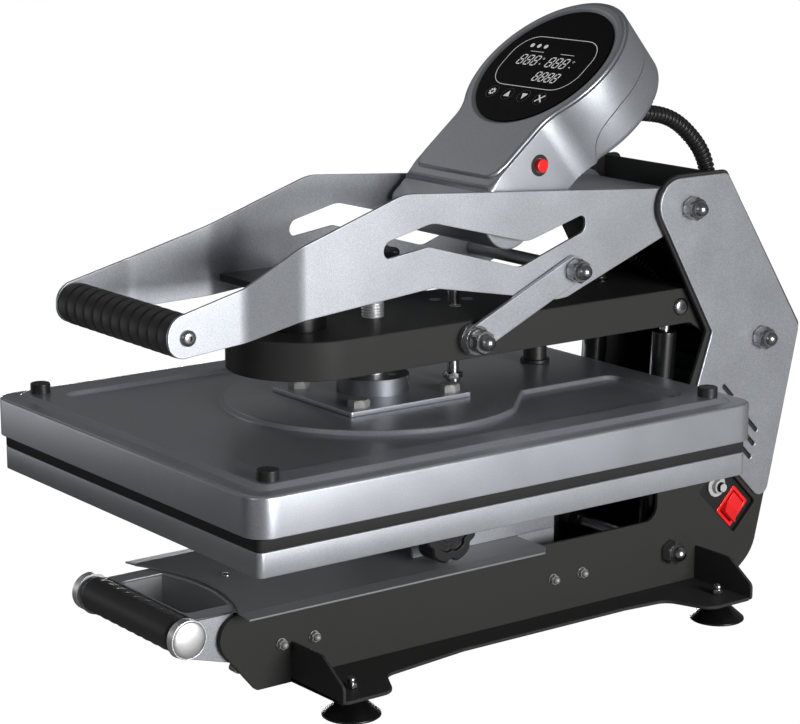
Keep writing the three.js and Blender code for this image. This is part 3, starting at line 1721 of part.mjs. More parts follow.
function headSolid(shrink) {
  const radius = head.radius - shrink;
  const disc = behindFace(circle(0, head.centre, radius, bigRoundSteps), shrink, head.deep - shrink);
  const half = head.neckHalf - shrink;
  const neck = alongX(neckOutline(shrink), -half, half);
  const keep = behindFace(box(-head.radius, head.radius, 0, head.centre), -overrun, head.radius * 3);
  return join(disc, neck.intersect(keep));
}

// Everything behind the seam, which runs level across the round head and sweeps back down the neck
function behindSeam(offset) {
  const far = head.radius * 3;
  const seam = [
    [head.centre + far, head.seam],
    ...head.seamPoints,
    [head.seamPoints.at(-1)[0], far],
    [head.centre + far, far],
  ].map(([s, d]) => {
    const [y, z] = facePoint(s, d + offset);
    return new THREE.Vector2(y, z);
  });
  return alongX(seam, -head.radius * 2, head.radius * 2);
}

function makeHead() {
  const outside = headSolid(0);
  const inside = headSolid(head.wall);
  const mouth = behindFace(
    circle(0, head.centre, head.glass - head.wall, bigRoundSteps),
    -overrun,
    head.wall + overrun,
  );
  const seat = behindFace(
    circle(0, head.centre, head.glass + clear, bigRoundSteps),
    -overrun,
    head.glassSunk + head.glassThick + clear,
  );
  const buttonHole = rodX(
    releaseButton.radius + boreClear,
    head.neckHalf - head.wall - overrun,
    head.neckHalf + overrun,
    releaseButton.y,
    releaseButton.z,
  );
  const hollow = cut(outside, inside);
  const front = cut(hollow, behindSeam(0), mouth, seat, buttonHole);
  place("head_front_shell", front, silverPaint, leverGroup);
  const rear = join(hollow.intersect(behindSeam(clear)), socket());
  place("head_rear_shell", cut(rear, socketBore()), silverPaint, leverGroup);
  const glassDisc = circle(0, head.centre, head.glass, bigRoundSteps);
  place(
    "display_glass",
    behindFace(glassDisc, head.glassSunk, head.glassSunk + head.glassThick),
    glass,
    leverGroup,
  );
}

// The socket of the control hose stands square on the back shell, level with the hose's first stretch
function socketRod(radius, from, to) {
  const geometry = new THREE.CylinderGeometry(radius, radius, to - from, roundSteps);
  geometry.translate(hoseSocket.x, hoseSocket.y + (to + from) / 2, hoseSocket.z);
  return solid(geometry);
}
const socket = () => socketRod(hoseSocket.radius, -hoseSocket.long, -clear);
const socketBore = () => socketRod(controlHose.bore, -hoseSocket.long * 2, overrun);
makeHead();

place(
  "release_button",
  rodX(
    releaseButton.radius,
    head.neckHalf + releaseButton.proud - releaseButton.long,
    head.neckHalf + releaseButton.proud,
  ),
  redPlastic,
  leverGroup,
  [0, releaseButton.y, releaseButton.z],
);

// Ribbed hoses: each rib is two rings of eight points, and the bore has a ring every five ribs

function makeHose(name, hose) {
  const route = new THREE.CatmullRomCurve3(
    hose.route.map((point) => new THREE.Vector3(...point)),
    false,
    "centripetal",
  );
  route.arcLengthDivisions = arcSteps;
  const ribs = ribsPerBoreRing * Math.round(route.getLength() / hose.pitch / ribsPerBoreRing);
  const steps = ribs * 2;
  const frames = route.computeFrenetFrames(steps, false);
  const points = [];
  const ring = (step, radius) => {
    const centre = route.getPointAt(step / steps);
    for (let i = 0; i < hoseSides; i++) {
      const angle = (i / hoseSides) * Math.PI * 2;
      const point = centre
        .clone()
        .addScaledVector(frames.normals[step], radius * Math.cos(angle))
        .addScaledVector(frames.binormals[step], radius * Math.sin(angle));
      points.push(point.x, point.y, point.z);
    }
  };
  for (let step = 0; step <= steps; step++) ring(step, hose.radius - (step % 2 === 0 ? hose.groove : 0));
  for (let step = steps; step >= 0; step -= ribsPerBoreRing * 2) ring(step, hose.bore);
  const rings = points.length / 3 / hoseSides;
  const faces = [];
  for (let row = 0; row < rings; row++) {
    const next = (row + 1) % rings;
    for (let i = 0; i < hoseSides; i++) {
      const j = (i + 1) % hoseSides;
      const [a, b, c, d] = [row, row, next, next].map((r, k) => r * hoseSides + (k === 0 || k === 3 ? i : j));
      faces.push(a, b, c, a, c, d);
    }
  }
  const geometry = new THREE.BufferGeometry();
  geometry.setAttribute("position", new THREE.Float32BufferAttribute(points, 3));
  geometry.setIndex(faces);
  place(name, solid(geometry), blackPlastic);
}
makeHose("control_hose", controlHose);
makeHose("heater_hose", heaterHose);

export default press;
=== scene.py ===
import math

import bmesh
import bpy
import numpy as np
from mathutils import Matrix, Vector
from mathutils.geometry import tessellate_polygon


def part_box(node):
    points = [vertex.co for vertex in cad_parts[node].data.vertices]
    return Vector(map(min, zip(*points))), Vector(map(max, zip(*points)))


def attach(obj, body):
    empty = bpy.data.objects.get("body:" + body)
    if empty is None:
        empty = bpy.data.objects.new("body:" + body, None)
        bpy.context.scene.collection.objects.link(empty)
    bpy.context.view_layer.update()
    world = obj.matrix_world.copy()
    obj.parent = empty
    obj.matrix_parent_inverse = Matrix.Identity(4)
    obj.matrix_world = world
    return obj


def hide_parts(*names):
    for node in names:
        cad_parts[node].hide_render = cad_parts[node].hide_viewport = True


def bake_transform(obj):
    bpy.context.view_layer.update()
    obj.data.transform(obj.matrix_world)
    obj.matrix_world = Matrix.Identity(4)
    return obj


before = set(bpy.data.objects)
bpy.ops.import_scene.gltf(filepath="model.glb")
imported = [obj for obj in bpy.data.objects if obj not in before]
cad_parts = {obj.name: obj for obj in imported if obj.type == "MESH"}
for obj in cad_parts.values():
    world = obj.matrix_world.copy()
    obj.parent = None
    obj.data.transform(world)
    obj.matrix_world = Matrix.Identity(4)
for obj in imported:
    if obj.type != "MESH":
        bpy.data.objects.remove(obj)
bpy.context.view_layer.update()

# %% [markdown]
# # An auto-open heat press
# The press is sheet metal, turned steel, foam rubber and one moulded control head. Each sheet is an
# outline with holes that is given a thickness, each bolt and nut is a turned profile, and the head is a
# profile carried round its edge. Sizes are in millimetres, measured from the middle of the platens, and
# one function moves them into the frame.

mm = 0.001
PLATEN_BOTTOM = 167.0
PLATEN_THICK = 20.0
platen_low, platen_high = (np.array(corner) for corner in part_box("lower_platen"))
shift = np.array([0.0, (platen_low[1] + platen_high[1]) / 2, platen_low[2] - PLATEN_BOTTOM * mm])
FLOOR = -shift[2] / mm


def in_frame(points):
    """Millimetres from the middle of the platens to metres in the frame: points * 0.001 + shift."""
    return np.asarray(points, dtype=float) * mm + shift


print("shift of the frame in metres:", shift.round(4))

# %% [markdown]
# ## Camera
# The press is seen from the front right and a little above, through a long lens. Its place and lens come
# from fitting the platen's corners, so the model lies over the photographed one.

# %% Camera
camera_data = bpy.data.cameras.new("camera")
camera_data.sensor_width = 36.0
camera_data.lens = 110.07
camera_data.shift_x = 0.00125
camera = bpy.data.objects.new("camera", camera_data)
camera.location = (1.6537, -1.2926, 0.7147)
CAMERA_AZIMUTH = 53.38
CAMERA_DOWN = 12.64
camera.rotation_euler = (math.radians(90 - CAMERA_DOWN), 0, math.radians(CAMERA_AZIMUTH))
bpy.context.collection.objects.link(camera)
bpy.context.scene.camera = camera
bpy.context.scene.view_settings.view_transform = "Standard"

# %% [markdown]
# ## Shapes as arrays
# A surface here is a grid of points: rows along a profile and columns round an outline or a turn. Faces
# follow from the grid's numbering, so no loop walks over the points. A flat face with holes is filled by
# Blender's tessellation.


# %% Grids and caps
def grid_faces(rows, columns, first=0, closed=True):
    """Quads of a grid: point (r, c) is first + r * columns + c. A closed grid joins its end columns."""
    r, c = np.meshgrid(np.arange(rows - 1), np.arange(columns if closed else columns - 1), indexing="ij")
    d = (c + 1) % columns
    low, high = r * columns, (r + 1) * columns
    quads = np.stack([low + c, low + d, high + d, high + c], axis=-1)
    return (quads.reshape(-1, 4) + first).tolist()


def tube_faces(rows, columns):
    """The quads of a closed grid, with one face over its first loop and one over its last."""
    last = (rows - 1) * columns
    return grid_faces(rows, columns) + [tuple(range(columns))[::-1], tuple(range(last, last + columns))]


def cap_faces(loops, starts):
    """Triangles over a flat loop with holes, numbered from each loop's start in the mesh."""
    numbers = np.concatenate([start + np.arange(len(loop)) for loop, start in zip(loops, starts)])
    triangles = tessellate_polygon([[Vector((a, b, 0)) for a, b in loop] for loop in loops])
    return [tuple(int(numbers[i]) for i in triangle) for triangle in triangles]


def joined(*parts):
    """One mesh of several: each part's faces are numbered after the points before it."""
    points, faces, first = [], [], 0
    for part_points, part_faces in parts:
        points.append(np.asarray(part_points, dtype=float))
        faces += [tuple(i + first for i in face) for face in part_faces]
        first += len(part_points)
    return np.concatenate(points), faces


# %% Outlines with round corners
LONGEST_RUN, HALF_WAY = 0.49, 0.498


def rounded(corners, steps=8, closed=True):
    """Turns corners [a, b, radius] into arcs: an arc starts radius / tan(half the angle) before its
    corner. A point a little before and after each arc keeps the straight stretches flat when the mesh is
    shaded smooth."""
    points = []
    count = len(corners)
    for i, (a, b, *rest) in enumerate(corners):
        here, radius = np.array([a, b], dtype=float), (rest[0] if rest else 0)
        if radius <= 0 or (not closed and i in (0, count - 1)):
            points.append(here[None])
            continue
        back = np.array(corners[i - 1][:2], dtype=float) - here
        on = np.array(corners[(i + 1) % count][:2], dtype=float) - here
        lengths = np.linalg.norm(back), np.linalg.norm(on)
        reach = LONGEST_RUN * min(lengths)
        back, on = back / lengths[0], on / lengths[1]
        half = math.acos(np.clip(back @ on, -1, 1)) / 2
        run = min(radius / math.tan(half), reach)
        size = run * math.tan(half)
        middle = here + (back + on) / np.linalg.norm(back + on) * size / math.sin(half)
        start = math.atan2(*(here + back * run - middle)[::-1])
        turn = math.atan2(*(here + on * run - middle)[::-1]) - start
        turn = (turn + math.pi) % (2 * math.pi) - math.pi
        angles = start + turn * np.linspace(0, 1, steps + 1)
        before, after = (min(0.2 * run, HALF_WAY * length - run) for length in lengths)
        points.append((here + back * (run + before))[None])
        points.append(middle + size * np.stack([np.cos(angles), np.sin(angles)], axis=1))
        points.append((here + on * (run + after))[None])
    return np.concatenate(points)


def full_turn(steps):
    """Angles evenly round a turn: k * 2 pi / steps."""
    return np.arange(steps) * 2 * math.pi / steps


def circle(a, b, radius, steps=48):
    """Points a + radius * cos(t), b + radius * sin(t) for t round a full turn."""
    t = full_turn(steps)
    return np.stack([a + radius * np.cos(t), b + radius * np.sin(t)], axis=1)


def box_outline(a0, a1, b0, b1, radius=0.0):
    """A rectangle with one radius at its four corners."""
    return rounded([(a0, b0, radius), (a1, b0, radius), (a1, b1, radius), (a0, b1, radius)])


def left_turning(loop, wanted=True):
    """The loop with its points in the wanted turning sense, told by the sign of its area."""
    a, b = loop[:, 0], loop[:, 1]
    area = np.sum(a * np.roll(b, -1) - np.roll(a, -1) * b)
    return loop if (area > 0) == wanted else loop[::-1]


def inset(loop, distance):
    """Moves each point by 2 * distance * n / |n| ** 2, where n is the sum of its two edges' normals."""
    edge = np.roll(loop, -1, axis=0) - loop
    length = np.maximum(np.linalg.norm(edge, axis=1, keepdims=True), 1e-9)
    normal = np.stack([-edge[:, 1], edge[:, 0]], axis=1) / length
    total = normal + np.roll(normal, 1, axis=0)
    scale = 2 / np.maximum(np.sum(total**2, axis=1, keepdims=True), 0.5)
    return loop + np.asarray(distance).reshape(-1, 1) * total * scale


# %% Plates: an outline with a thickness and softened edges
def edge_rows(low, high, edge, steps=3):
    """Rows [inset, height] over a plate's edge: a flat rim, a quarter circle, the wall, and the same."""
    t = np.linspace(0, math.pi / 2, steps + 1)
    bottom = np.stack([edge * (1 - np.sin(t)), low + edge * (1 - np.cos(t))], axis=1)
    bottom = np.concatenate([[(edge * 1.5, low)], bottom])
    return np.concatenate([bottom, np.stack([bottom[::-1, 0], low + high - bottom[::-1, 1]], axis=1)])


def along(axis, a, b, height):
    """Points whose outline lies across one axis: a and b are Y and Z, X and Z, or X and Y."""
    order = {"x": (height, a, b), "y": (a, height, b), "z": (a, b, height)}[axis]
    return np.stack(np.broadcast_arrays(*order), axis=-1)


def level(loop, height, axis="z"):
    """The points of a flat loop at one height of an axis."""
    return along(axis, *np.asarray(loop).T, np.full(len(loop), height))


def plate(outline, low, high, holes=(), edge=0.5, axis="x"):
    """A slab: each loop is carried over the rows of its edge, and both sides are filled round holes."""
    loops = [left_turning(np.asarray(outline))] + [left_turning(np.asarray(hole), False) for hole in holes]
    rows = edge_rows(min(low, high), max(low, high), edge)
    points, faces, starts, caps, first = [], [], [], [], 0
    for loop in loops:
        points += [level(inset(loop, far), height, axis) for far, height in rows]
        faces += grid_faces(len(rows), len(loop), first)
        starts.append(first)
        caps.append(inset(loop, rows[0][0]))
        first += len(rows) * len(loop)
    ends = [start + (len(rows) - 1) * len(loop) for start, loop in zip(starts, loops)]
    faces += [face[::-1] for face in cap_faces(caps, starts)] + cap_faces(caps, ends)
    return np.concatenate(points), faces


def ring_stack(rows, axis="z"):
    """A closed solid through loops of equal counts, each [loop, height], with both ends filled."""
    (low_loop, _), (high_loop, _) = rows[0], rows[-1]
    faces = grid_faces(len(rows), len(low_loop))
    faces += cap_faces([low_loop], [0])[::-1] + cap_faces([high_loop], [(len(rows) - 1) * len(low_loop)])
    return np.concatenate([level(loop, height, axis) for loop, height in rows]), faces


# %% Cutting a part where it bends
def cut_across(part, axis, places):
    """Splits a part's faces by planes across X (axis 0) or Y (axis 1), so that it can bend there."""
    points, faces = part
    work = bmesh.new()
    made = [work.verts.new(point) for point in points]
    for face in faces:
        work.faces.new([made[i] for i in face])
    normal = np.eye(3)[axis]
    for place in places:
        everything = list(work.verts) + list(work.edges) + list(work.faces)
        bmesh.ops.bisect_plane(work, geom=everything, dist=1e-4, plane_co=tuple(normal * place),
                               plane_no=tuple(normal))
    work.verts.index_update()
    split = np.array([vertex.co for vertex in work.verts])
    corners = [tuple(vertex.index for vertex in face.verts) for face in work.faces]
    work.free()
    return split, corners


# %% Turned pieces
def turned(rows, axis="x", at=(0, 0), steps=48, across=None, lobes=None):
    """Rows [place, radius] turned about an axis. With across flats f the radius is at most f / 2 /
    cos(t), with t the angle from the nearest flat, so a cone over a hexagon gives a nut's chamfer. Lobes
    n, d cut n grooves, each d * ((1 - cos(n * t)) / 2) ** 4 deep."""
    rows = np.asarray(rows, dtype=float)
    t = full_turn(steps)
    radius = np.repeat(rows[:, 1:2], steps, axis=1)
    if across:
        flat = np.abs((t + math.pi / 6) % (math.pi / 3) - math.pi / 6)
        radius = np.minimum(radius, across / 2 / np.cos(flat))
    if lobes:
        share = rows[:, 1:2] / rows[:, 1].max()
        radius = radius - share * lobes[1] * ((1 - np.cos(lobes[0] * t)) / 2) ** 4
    a, b = at[0] + radius * np.cos(t), at[1] + radius * np.sin(t)
    points = along(axis, a, b, np.repeat(rows[:, 0:1], steps, axis=1)).reshape(-1, 3)
    return points, tube_faces(len(rows), steps)


def profile(*corners, steps=3):
    """A turned profile whose corners [place, radius, fillet] are rounded."""
    return rounded(list(corners), steps, closed=False)


def rod(radius, low, high, axis="x", at=(0, 0), edge=0.4, steps=40):
    """A plain round bar with softened ends."""
    low, high = min(low, high), max(low, high)
    rows = profile((low, radius - edge), (low, radius, edge), (high, radius, edge), (high, radius - edge))
    return turned(rows, axis, at, steps)


# %% Nuts and screw heads
def dome(place, side, radius, steps=7):
    """Rows of a half ball: place + side * radius * sin(t), radius * cos(t)."""
    t = np.linspace(0, math.pi / 2, steps + 1)[:-1]
    rows = [(place + side * radius * math.sin(a), radius * math.cos(a)) for a in t]
    return rows + [(place + side * radius, 0.05)]


def acorn_nut(seat, side, at, across, high, round_radius, tip, axis="x"):
    """A hexagon with both faces chamfered, a neck, and a half ball on it."""
    wide = across / math.sqrt(3)
    hexagon = [(0, across / 2 - 0.3), (across * 0.05, wide), (high - across * 0.07, wide),
               (high, across / 2 - 0.1)]
    rows = [(seat + side * place, radius) for place, radius in hexagon]
    rows += [(seat + side * high, round_radius)]
    rows += dome(seat + side * (tip - round_radius), side, round_radius)
    return turned(rows, axis, at, 72, across)


def hex_bolt(seat, high, at, across, axis="z"):
    """A bolt head: a hexagon whose top is chamfered by a cone."""
    wide = across / math.sqrt(3)
    rows = [(seat, wide), (seat + high - across * 0.09, wide), (seat + high, across / 2 - 0.4),
            (seat + high + 0.05, 0.1)]
    points, faces = turned(rows, axis, (0, 0), 72, across)
    return points[:, [1, 0, 2]] + (*at, 0), faces


def button_head(seat, side, at, radius, high, socket=0.0, axis="x"):
    """A low domed screw head, with a round socket sunk in its middle where one is given."""
    t = np.linspace(0, math.pi / 2, 7)
    flat = max(socket, 0.1)
    rows = [(seat, radius)] + [
        (seat + side * high * (0.35 + 0.65 * math.sin(a)), flat + (radius - flat) * math.cos(a)) for a in t
    ]
    if socket:
        rows += [(seat + side * high * 0.45, socket * 0.95), (seat + side * high * 0.45, 0.1)]
    return turned(rows, axis, at, 40)


# %% Threads and ribbed tubes
def threaded(radius, depth, pitch, low, high, at=(0, 0), axis="z", steps=36):
    """A screw thread: radius - depth * |2 * frac(place / pitch - t / turn) - 1|, with closed ends."""
    places = np.arange(low, high + pitch / 16, pitch / 8)
    t = full_turn(steps)
    wave = np.abs(2 * ((places[:, None] / pitch - t / (2 * math.pi)) % 1) - 1)
    size = radius - depth * wave
    a, b = at[0] + size * np.cos(t), at[1] + size * np.sin(t)
    points = along(axis, a, b, np.repeat(places[:, None], steps, axis=1)).reshape(-1, 3)
    return points, tube_faces(len(places), steps)


def smooth_route(knots, count):
    """Points evenly spaced on a centripetal Catmull-Rom curve through the knots."""
    knots = np.asarray(knots, dtype=float)
    line = np.concatenate([[2 * knots[0] - knots[1]], knots, [2 * knots[-1] - knots[-2]]])
    pieces = []
    for p0, p1, p2, p3 in zip(line, line[1:], line[2:], line[3:]):
        t = np.cumsum([0] + [math.sqrt(np.linalg.norm(b - a)) for a, b in ((p0, p1), (p1, p2), (p2, p3))])
        u = np.linspace(t[1], t[2], 40, endpoint=False)[:, None]
        a1 = (t[1] - u) / (t[1] - t[0]) * p0 + (u - t[0]) / (t[1] - t[0]) * p1
        a2 = (t[2] - u) / (t[2] - t[1]) * p1 + (u - t[1]) / (t[2] - t[1]) * p2
        a3 = (t[3] - u) / (t[3] - t[2]) * p2 + (u - t[2]) / (t[3] - t[2]) * p3
        b1 = (t[2] - u) / (t[2] - t[0]) * a1 + (u - t[0]) / (t[2] - t[0]) * a2
        b2 = (t[3] - u) / (t[3] - t[1]) * a2 + (u - t[1]) / (t[3] - t[1]) * a3
        pieces.append((t[2] - u) / (t[2] - t[1]) * b1 + (u - t[1]) / (t[2] - t[1]) * b2)
    curve = np.concatenate(pieces + [knots[-1:]])
    run = np.concatenate([[0], np.cumsum(np.linalg.norm(np.diff(curve, axis=0), axis=1))])
    even = np.linspace(0, run[-1], count)
    return np.stack([np.interp(even, run, curve[:, k]) for k in range(3)], axis=1), run[-1]


def flat_tube(route, radii, steps=24):
    """A tube on a route in a Y-Z plane: each ring lies across X and the route, with its own radius."""
    ahead = np.gradient(route, axis=0)
    ahead /= np.linalg.norm(ahead, axis=1, keepdims=True)
    side = np.array([1.0, 0, 0])
    up = np.cross(ahead, side)
    t = full_turn(steps)
    ring = np.cos(t)[None, :, None] * side + np.sin(t)[None, :, None] * up[:, None, :]
    points = (route[:, None, :] + np.asarray(radii)[:, None, None] * ring).reshape(-1, 3)
    return points, tube_faces(len(route), steps)


# %% Making a piece
def piece(name, body, slot, material, nodes, *parts, sharp=32):
    """One object of several meshes in the frame: points merged, faces turned outwards, edges past an
    angle kept sharp. It rides on a body, stands for its solids, and takes the material it is given; its
    slot is not used."""
    points, faces = joined(*parts)
    mesh = bpy.data.meshes.new(name)
    mesh.from_pydata(in_frame(points).tolist(), [], faces)
    work = bmesh.new()
    work.from_mesh(mesh)
    bmesh.ops.remove_doubles(work, verts=work.verts, dist=2e-6)
    bmesh.ops.dissolve_degenerate(work, edges=work.edges, dist=1e-6)
    bmesh.ops.recalc_face_normals(work, faces=work.faces)
    work.to_mesh(mesh)
    work.free()
    mesh.shade_smooth()
    mesh.set_sharp_from_angle(angle=math.radians(sharp))
    mesh.materials.append(material)
    made = bpy.data.objects.new(name, mesh)
    bpy.context.collection.objects.link(made)
    if body:
        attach(made, body)
    if nodes:
        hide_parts(*nodes)
    print(f"{name}: {len(mesh.vertices)} points")
    return made


SIDES = (("right", 1), ("left", -1))

# %% [markdown]
# ## Shader maths in Python
# A finish is worked out as an expression: adding or multiplying two values adds the Math node that does
# it. Anything else, such as a noise or a ramp, comes from one method that takes the node's type, its
# settings and its sockets.


# %% Values that add their own nodes
class Value:
    """One output socket. Python's operators on it add Math nodes to its tree."""

    def __init__(self, tree, socket):
        self.tree, self.socket = tree, socket

    def math(self, operation, *operands):
        """A Math node on two operands, each a number or a Value."""
        node = self.tree.nodes.new("ShaderNodeMath")
        node.operation = operation
        for entry, operand in zip(node.inputs, operands):
            if isinstance(operand, Value):
                self.tree.links.new(operand.socket, entry)
            else:
                entry.default_value = operand
        return Value(self.tree, node.outputs[0])

    def __add__(self, other):
        return self.math("ADD", self, other)

    def __mul__(self, other):
        return self.math("MULTIPLY", self, other)

    def __sub__(self, other):
        return self.math("SUBTRACT", self, other)

    def __rsub__(self, other):
        return self.math("SUBTRACT", other, self)

    def most(self, other):
        """The larger of the two."""
        return self.math("MAXIMUM", self, other)

    __radd__, __rmul__ = __add__, __mul__


# %% Node trees and finishes
class Nodes:
    """A node tree, with one method that adds any node to it."""

    def __init__(self, tree):
        self.tree = tree

    def node(self, kind, settings=None, **sockets):
        """A node of a type. Its settings come first, then its sockets, where _ stands for a space."""
        made = self.tree.nodes.new(kind)
        for name, value in (settings or {}).items():
            setattr(made, name, value)
        for name, value in sockets.items():
            entry = made.inputs[name.replace("_", " ")]
            if isinstance(value, Value):
                self.tree.links.new(value.socket, entry)
            elif isinstance(value, bpy.types.NodeSocket):
                self.tree.links.new(value, entry)
            else:
                entry.default_value = value
        return made

    def mixed(self, share, first, second):
        """A Mix Shader's output: the first shader, and a share of the second over it."""
        made = self.node("ShaderNodeMixShader", Fac=share)
        self.tree.links.new(first, made.inputs[1])
        self.tree.links.new(second, made.inputs[2])
        return made.outputs[0]

    def rays(self, kind):
        """One for rays of a kind, such as camera rays, and else nothing."""
        path = self.node("ShaderNodeLightPath")
        return Value(self.tree, path.outputs[f"Is {kind} Ray"])


# %% Materials with one shader
class Finish(Nodes):
    """A material with one Principled shader."""

    def __init__(self, name, color, roughness, metallic=0.0, **sockets):
        self.material = bpy.data.materials.new(name)
        self.material.use_nodes = True
        self.material.diffuse_color = (*color, 1)
        super().__init__(self.material.node_tree)
        self.shader = next(node for node in self.tree.nodes if node.type == "BSDF_PRINCIPLED")
        self.color = color
        values = {"Base Color": (*color, 1), "Roughness": roughness, "Metallic": metallic, **sockets}
        for socket, value in values.items():
            self.shader.inputs[socket.replace("_", " ")].default_value = value
        self.place = self.node("ShaderNodeTexCoord").outputs["Object"]

    def noise(self, size, detail=2.0, stretch=None):
        """Noise with blotches about size millimetres across, stretched where a scale is given."""
        place = self.place
        if stretch:
            place = self.node("ShaderNodeMapping", Vector=place, Scale=stretch).outputs[0]
        made = self.node("ShaderNodeTexNoise", Vector=place, Scale=1 / (size * mm), Detail=detail)
        return Value(self.tree, made.outputs["Fac"])

    def tint(self, amount):
        """The base colour, made lighter and darker by an amount around one."""
        mixed = self.node("ShaderNodeMix", {"data_type": "RGBA", "blend_type": "MULTIPLY"})
        mixed.inputs[0].default_value = 1.0
        mixed.inputs[6].default_value = (*self.color, 1)
        grey = self.node("ShaderNodeCombineColor", Red=amount, Green=amount, Blue=amount)
        self.tree.links.new(grey.outputs[0], mixed.inputs[7])
        self.tree.links.new(mixed.outputs[2], self.shader.inputs["Base Color"])

    def rough(self, value):
        """Roughness from a value."""
        self.tree.links.new(value.socket, self.shader.inputs["Roughness"])

    def bump(self, height, deep):
        """Bump whose full height is deep millimetres."""
        made = self.node("ShaderNodeBump", Height=height, Distance=deep * mm)
        self.tree.links.new(made.outputs[0], self.shader.inputs["Normal"])


# %% [markdown]
# ## Finishes
# Powder coat is a fine grain with a soft sheen, and the silver one has metal flake in it. Turned steel is
# brushed round its axis, foam rubber is dull and pitted, and moulded plastic is smooth with a faint
# texture.


# %% Paints
def powder_coat(name, color, roughness, metallic, grain, flake=0.06, deep=0.02, shine=0.5):
    """Base colour times flake noise, roughness from slow noise, and bump from the grain."""
    made = Finish(name, color, roughness, metallic, Specular_IOR_Level=shine)
    fine, slow = made.noise(grain), made.noise(40, 3)
    made.tint(1 - flake / 2 + (fine - 0.5) * flake * 4 + slow * flake * 0.5)
    made.rough(roughness - 0.05 + slow * 0.1 + (fine - 0.5) * 0.08)
    made.bump(fine + made.noise(grain * 5) * 0.8, deep)
    return made.material


silver_paint = powder_coat("silver_powder_coat", (0.56, 0.58, 0.62), 0.40, 0.75, 0.9, 0.2)
black_paint = powder_coat("black_powder_coat", (0.044, 0.044, 0.043), 0.5, 0.0, 0.7, 0.08, 0.015, 0.1)
# The graphite coat is the drawer's own colour; on the bracket's skirt it is painted shade inside the finger
# opening.
drawer_paint = powder_coat("graphite_powder_coat_and_skirt_shade", (0.27, 0.275, 0.285), 0.48, 0.3, 0.7, 0.08, 0.015)
cover_paint = powder_coat("cover_powder_coat", (0.50, 0.52, 0.56), 0.34, 0.75, 0.8, 0.16, 0.015)
head_paint = powder_coat("head_lacquer", (0.50, 0.52, 0.56), 0.36, 0.75, 0.6, 0.22, 0.01)
platen_metal = powder_coat("platen_metal", (0.45, 0.47, 0.505), 0.38, 0.6, 0.7, 0.16, 0.012)
housing_paint = powder_coat("housing_powder_coat", (0.08, 0.08, 0.08), 0.45, 0.0, 0.7, 0.08, 0.015, 0.3)


# %% Bare metal, rubber and plastic
def bare_metal(name, color, roughness, size=0.5, deep=0.004, metallic=1.0):
    """Metal whose roughness follows slow smudges and fine tool marks."""
    made = Finish(name, color, roughness, metallic)
    marks, smudge = made.noise(size, 4, (1, 0.15, 1)), made.noise(14, 3)
    made.tint(0.94 + smudge * 0.1)
    made.rough(roughness * 0.8 + marks * roughness * 0.25 + smudge * roughness * 0.2)
    made.bump(marks, deep)
    return made.material


def moulded(name, color, roughness, grain, deep, coat=0.0, shine=0.5, **sockets):
    """Plastic or rubber: colour and roughness vary a little with the grain, which also gives the bump."""
    made = Finish(name, color, roughness, Coat_Weight=coat, Coat_Roughness=0.08, Specular_IOR_Level=shine,
                  **sockets)
    fine, slow = made.noise(grain, 4), made.noise(25, 2)
    made.tint(0.9 + fine * 0.12 + slow * 0.08)
    made.rough(roughness - 0.06 + fine * 0.08 + slow * 0.06)
    made.bump(fine, deep)
    return made.material


# %% The finishes by name
chrome = bare_metal("chrome", (0.42, 0.42, 0.43), 0.24)
satin_steel = bare_metal("satin_steel", (0.96, 0.96, 0.97), 0.42, 0.5, 0.004)
zinc_steel = bare_metal("zinc_steel", (0.36, 0.36, 0.35), 0.5, 0.7, 0.006, 0.4)
dark_steel = bare_metal("dark_steel", (0.045, 0.045, 0.048), 0.3, 0.8, 0.004, 0.6)
hub_steel = bare_metal("hub_steel", (0.22, 0.23, 0.25), 0.48, 0.6, 0.008)
foam_rubber = moulded("foam_rubber", (0.062, 0.062, 0.062), 0.5, 0.9, 0.06)
foot_rubber = moulded("foot_rubber", (0.004, 0.004, 0.004), 0.3, 1.2, 0.02)
sponge = moulded("silicone_sponge", (0.012, 0.012, 0.012), 0.75, 0.8, 0.08)
black_plastic = moulded("black_plastic", (0.014, 0.014, 0.015), 0.4, 0.5, 0.015)
hose_plastic = moulded("hose_plastic", (0.018, 0.018, 0.019), 0.3, 0.8, 0.004)
black_enamel = moulded("black_enamel", (0.006, 0.006, 0.006), 0.22, 1.0, 0.002, 0.3)
rod_steel = bare_metal("rod_steel", (0.42, 0.42, 0.44), 0.45, 0.5, 0.003)
grey_plastic = moulded("grey_plastic", (0.55, 0.55, 0.55), 0.4, 0.5, 0.01)
red_plastic = moulded("red_plastic", (0.98, 0.02, 0.022), 0.3, 0.6, 0.006, 0.4)
board_green = moulded("board_green", (0.012, 0.08, 0.035), 0.45, 2.0, 0.02)
mineral_wool = moulded("mineral_wool", (0.62, 0.58, 0.5), 0.9, 1.5, 0.4)
display_glass = moulded("display_glass", (0.003, 0.003, 0.003), 0.28, 6.0, 0.001, 0.0, 0.04)
# The white print glows faintly by its emission: a painted glow on marks that are no lamp.
display_ink_painted_glow = moulded("display_ink_painted_glow", (0.95, 0.95, 0.95), 0.4, 1.0, 0.001,
                      Emission_Color=(1, 1, 1, 1), Emission_Strength=0.4)
dim_ink = moulded("dim_ink", (0.2, 0.2, 0.2), 0.5, 1.0, 0.001)
print("materials, with those of the solids:", len(bpy.data.materials))
